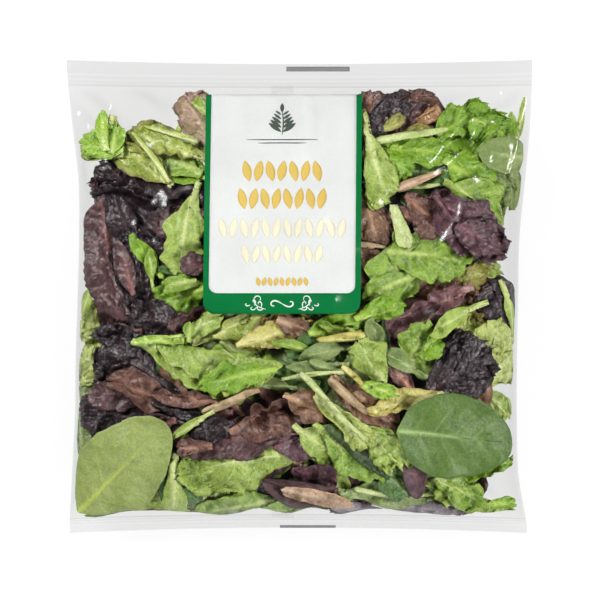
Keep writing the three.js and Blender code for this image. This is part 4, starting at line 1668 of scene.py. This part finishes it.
# Stage
CAMERA_DISTANCE = 2.8
CLIP_END = 20
PHOTO_SIDE = 600
PHOTO_MM_PER_PX = 0.5365
PHOTO_CENTRE = (299.4, 296.8)  # where the middle of the bag is in the photograph, in its pixels
SENSOR = 36.0
SKY_LEVEL = 0.6  # low down
SKY_TOP = 0.12  # share of it that is left high up
SKY_FADE = (0.3, 0.9)
FLOOR_HALF = 3000.0
FLOOR_Z = -0.2
FLOOR_ALBEDO = 0.12
FLOOR_GLOW = 0.86
LAMPS = [  # place in metres, size and power
    ("key", (-1.0, 0.75, 0.95), 0.6, 32),
    ("fill", (1.15, -0.2, 0.8), 0.7, 23),
    ("low", (0.1, -1.2, 0.8), 0.7, 10),
]
GLINTS = [("glint_left", (-0.9, 0.8, 1.35), 0.13, 1.6), ("glint_right", (0.75, 0.7, 1.3), 0.13, 2.4)]

LIT = bpy.data.collections.new("lit_by_lamps")  # all but the film, as if the lamps were polarised


def make_floor():
    nodes = Nodes("floor")
    matte = nodes.add("ShaderNodeBsdfDiffuse", Color=(FLOOR_ALBEDO, FLOOR_ALBEDO, FLOOR_ALBEDO, 1))
    glow = nodes.add("ShaderNodeEmission", Color=(1, 1, 1, 1), Strength=FLOOR_GLOW)
    both = nodes.add("ShaderNodeAddShader")
    nodes.join(matte.outputs[0], both.inputs[0])
    nodes.join(glow.outputs[0], both.inputs[1])
    corners = [(x * FLOOR_HALF, y * FLOOR_HALF, FLOOR_Z) for x, y in ((-1, -1), (1, -1), (1, 1), (-1, 1))]
    floor = new_mesh("floor", corners, [(0, 1, 2, 3)], smooth=False)
    floor.data.materials.append(nodes.done(both))
    LIT.objects.link(floor)


def make_sky():
    """A pale sky that is darker high up."""
    world = bpy.data.worlds.new("studio")
    bpy.context.scene.world = world
    world.use_nodes = True
    tree = world.node_tree
    where = tree.nodes.new("ShaderNodeTexCoord")
    split = tree.nodes.new("ShaderNodeSeparateXYZ")
    fall = tree.nodes.new("ShaderNodeMapRange")
    tree.links.new(where.outputs["Generated"], split.inputs[0])
    tree.links.new(split.outputs["Z"], fall.inputs["Value"])
    ends = (*SKY_FADE, SKY_LEVEL, SKY_LEVEL * SKY_TOP)
    for key, value in zip(("From Min", "From Max", "To Min", "To Max"), ends):
        fall.inputs[key].default_value = value
    tree.links.new(fall.outputs[0], tree.nodes["Background"].inputs["Strength"])


def make_lamps():
    for name, place, size, power in LAMPS:
        add_lamp(name, place, size, power).light_linking.receiver_collection = LIT
    for name, place, size, power in GLINTS:
        add_lamp(name, place, size, power)


def add_lamp(name, place, size, power):
    light = bpy.data.lights.new(name, "AREA")
    light.size = size
    light.energy = power
    lamp = bpy.data.objects.new(name, light)
    bpy.context.scene.collection.objects.link(lamp)
    lamp.location = place
    lamp.rotation_euler = (-Vector(place)).to_track_quat("-Z", "Y").to_euler()
    return lamp


def make_camera():
    view_width = PHOTO_SIDE * PHOTO_MM_PER_PX * MM
    data = bpy.data.cameras.new("camera")
    data.sensor_width = SENSOR
    data.lens = SENSOR * CAMERA_DISTANCE / view_width
    camera = bpy.data.objects.new("camera", data)
    bpy.context.scene.collection.objects.link(camera)
    bpy.context.scene.camera = camera
    across = (PHOTO_SIDE / 2 - PHOTO_CENTRE[0]) * PHOTO_MM_PER_PX * MM
    up = (PHOTO_CENTRE[1] - PHOTO_SIDE / 2) * PHOTO_MM_PER_PX * MM
    camera.location = (across, up, CAMERA_DISTANCE + SEAL_HEIGHT * MM)
    data.clip_end = CLIP_END


def set_colours():
    view = bpy.context.scene.view_settings
    view.view_transform = "Standard"
    view.look = "None"


set_colours()
make_camera()
make_floor()
make_sky()
make_lamps()
film = make_film()
film.data.materials.append(film_material("clear_film", FILM_TINT))
seam = make_fin()
seam.data.materials.append(film_material("clear_seam", SEAM_TINT))
leaf_groups = make_leaves(fill_bag())
core = make_core()
core.data.materials.append(core_material())
finishes = {name: leaf_material("leaf_" + name, *values) for name, values in FINISHES.items()}
for leaf_piece, leaf_kind, leaf_family in leaf_groups:
    leaf_piece.data.materials.append(finishes[KIND_FINISH.get(leaf_kind, "crisp")])
leaf_pieces = [leaf_piece for leaf_piece, _, _ in leaf_groups]
print_pieces = make_print()
for inner_piece in [core] + leaf_pieces + print_pieces:
    LIT.objects.link(inner_piece)
for bag_piece in [film, seam, core] + leaf_pieces + print_pieces:
    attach(bag_piece, "root")
    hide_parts("bag")
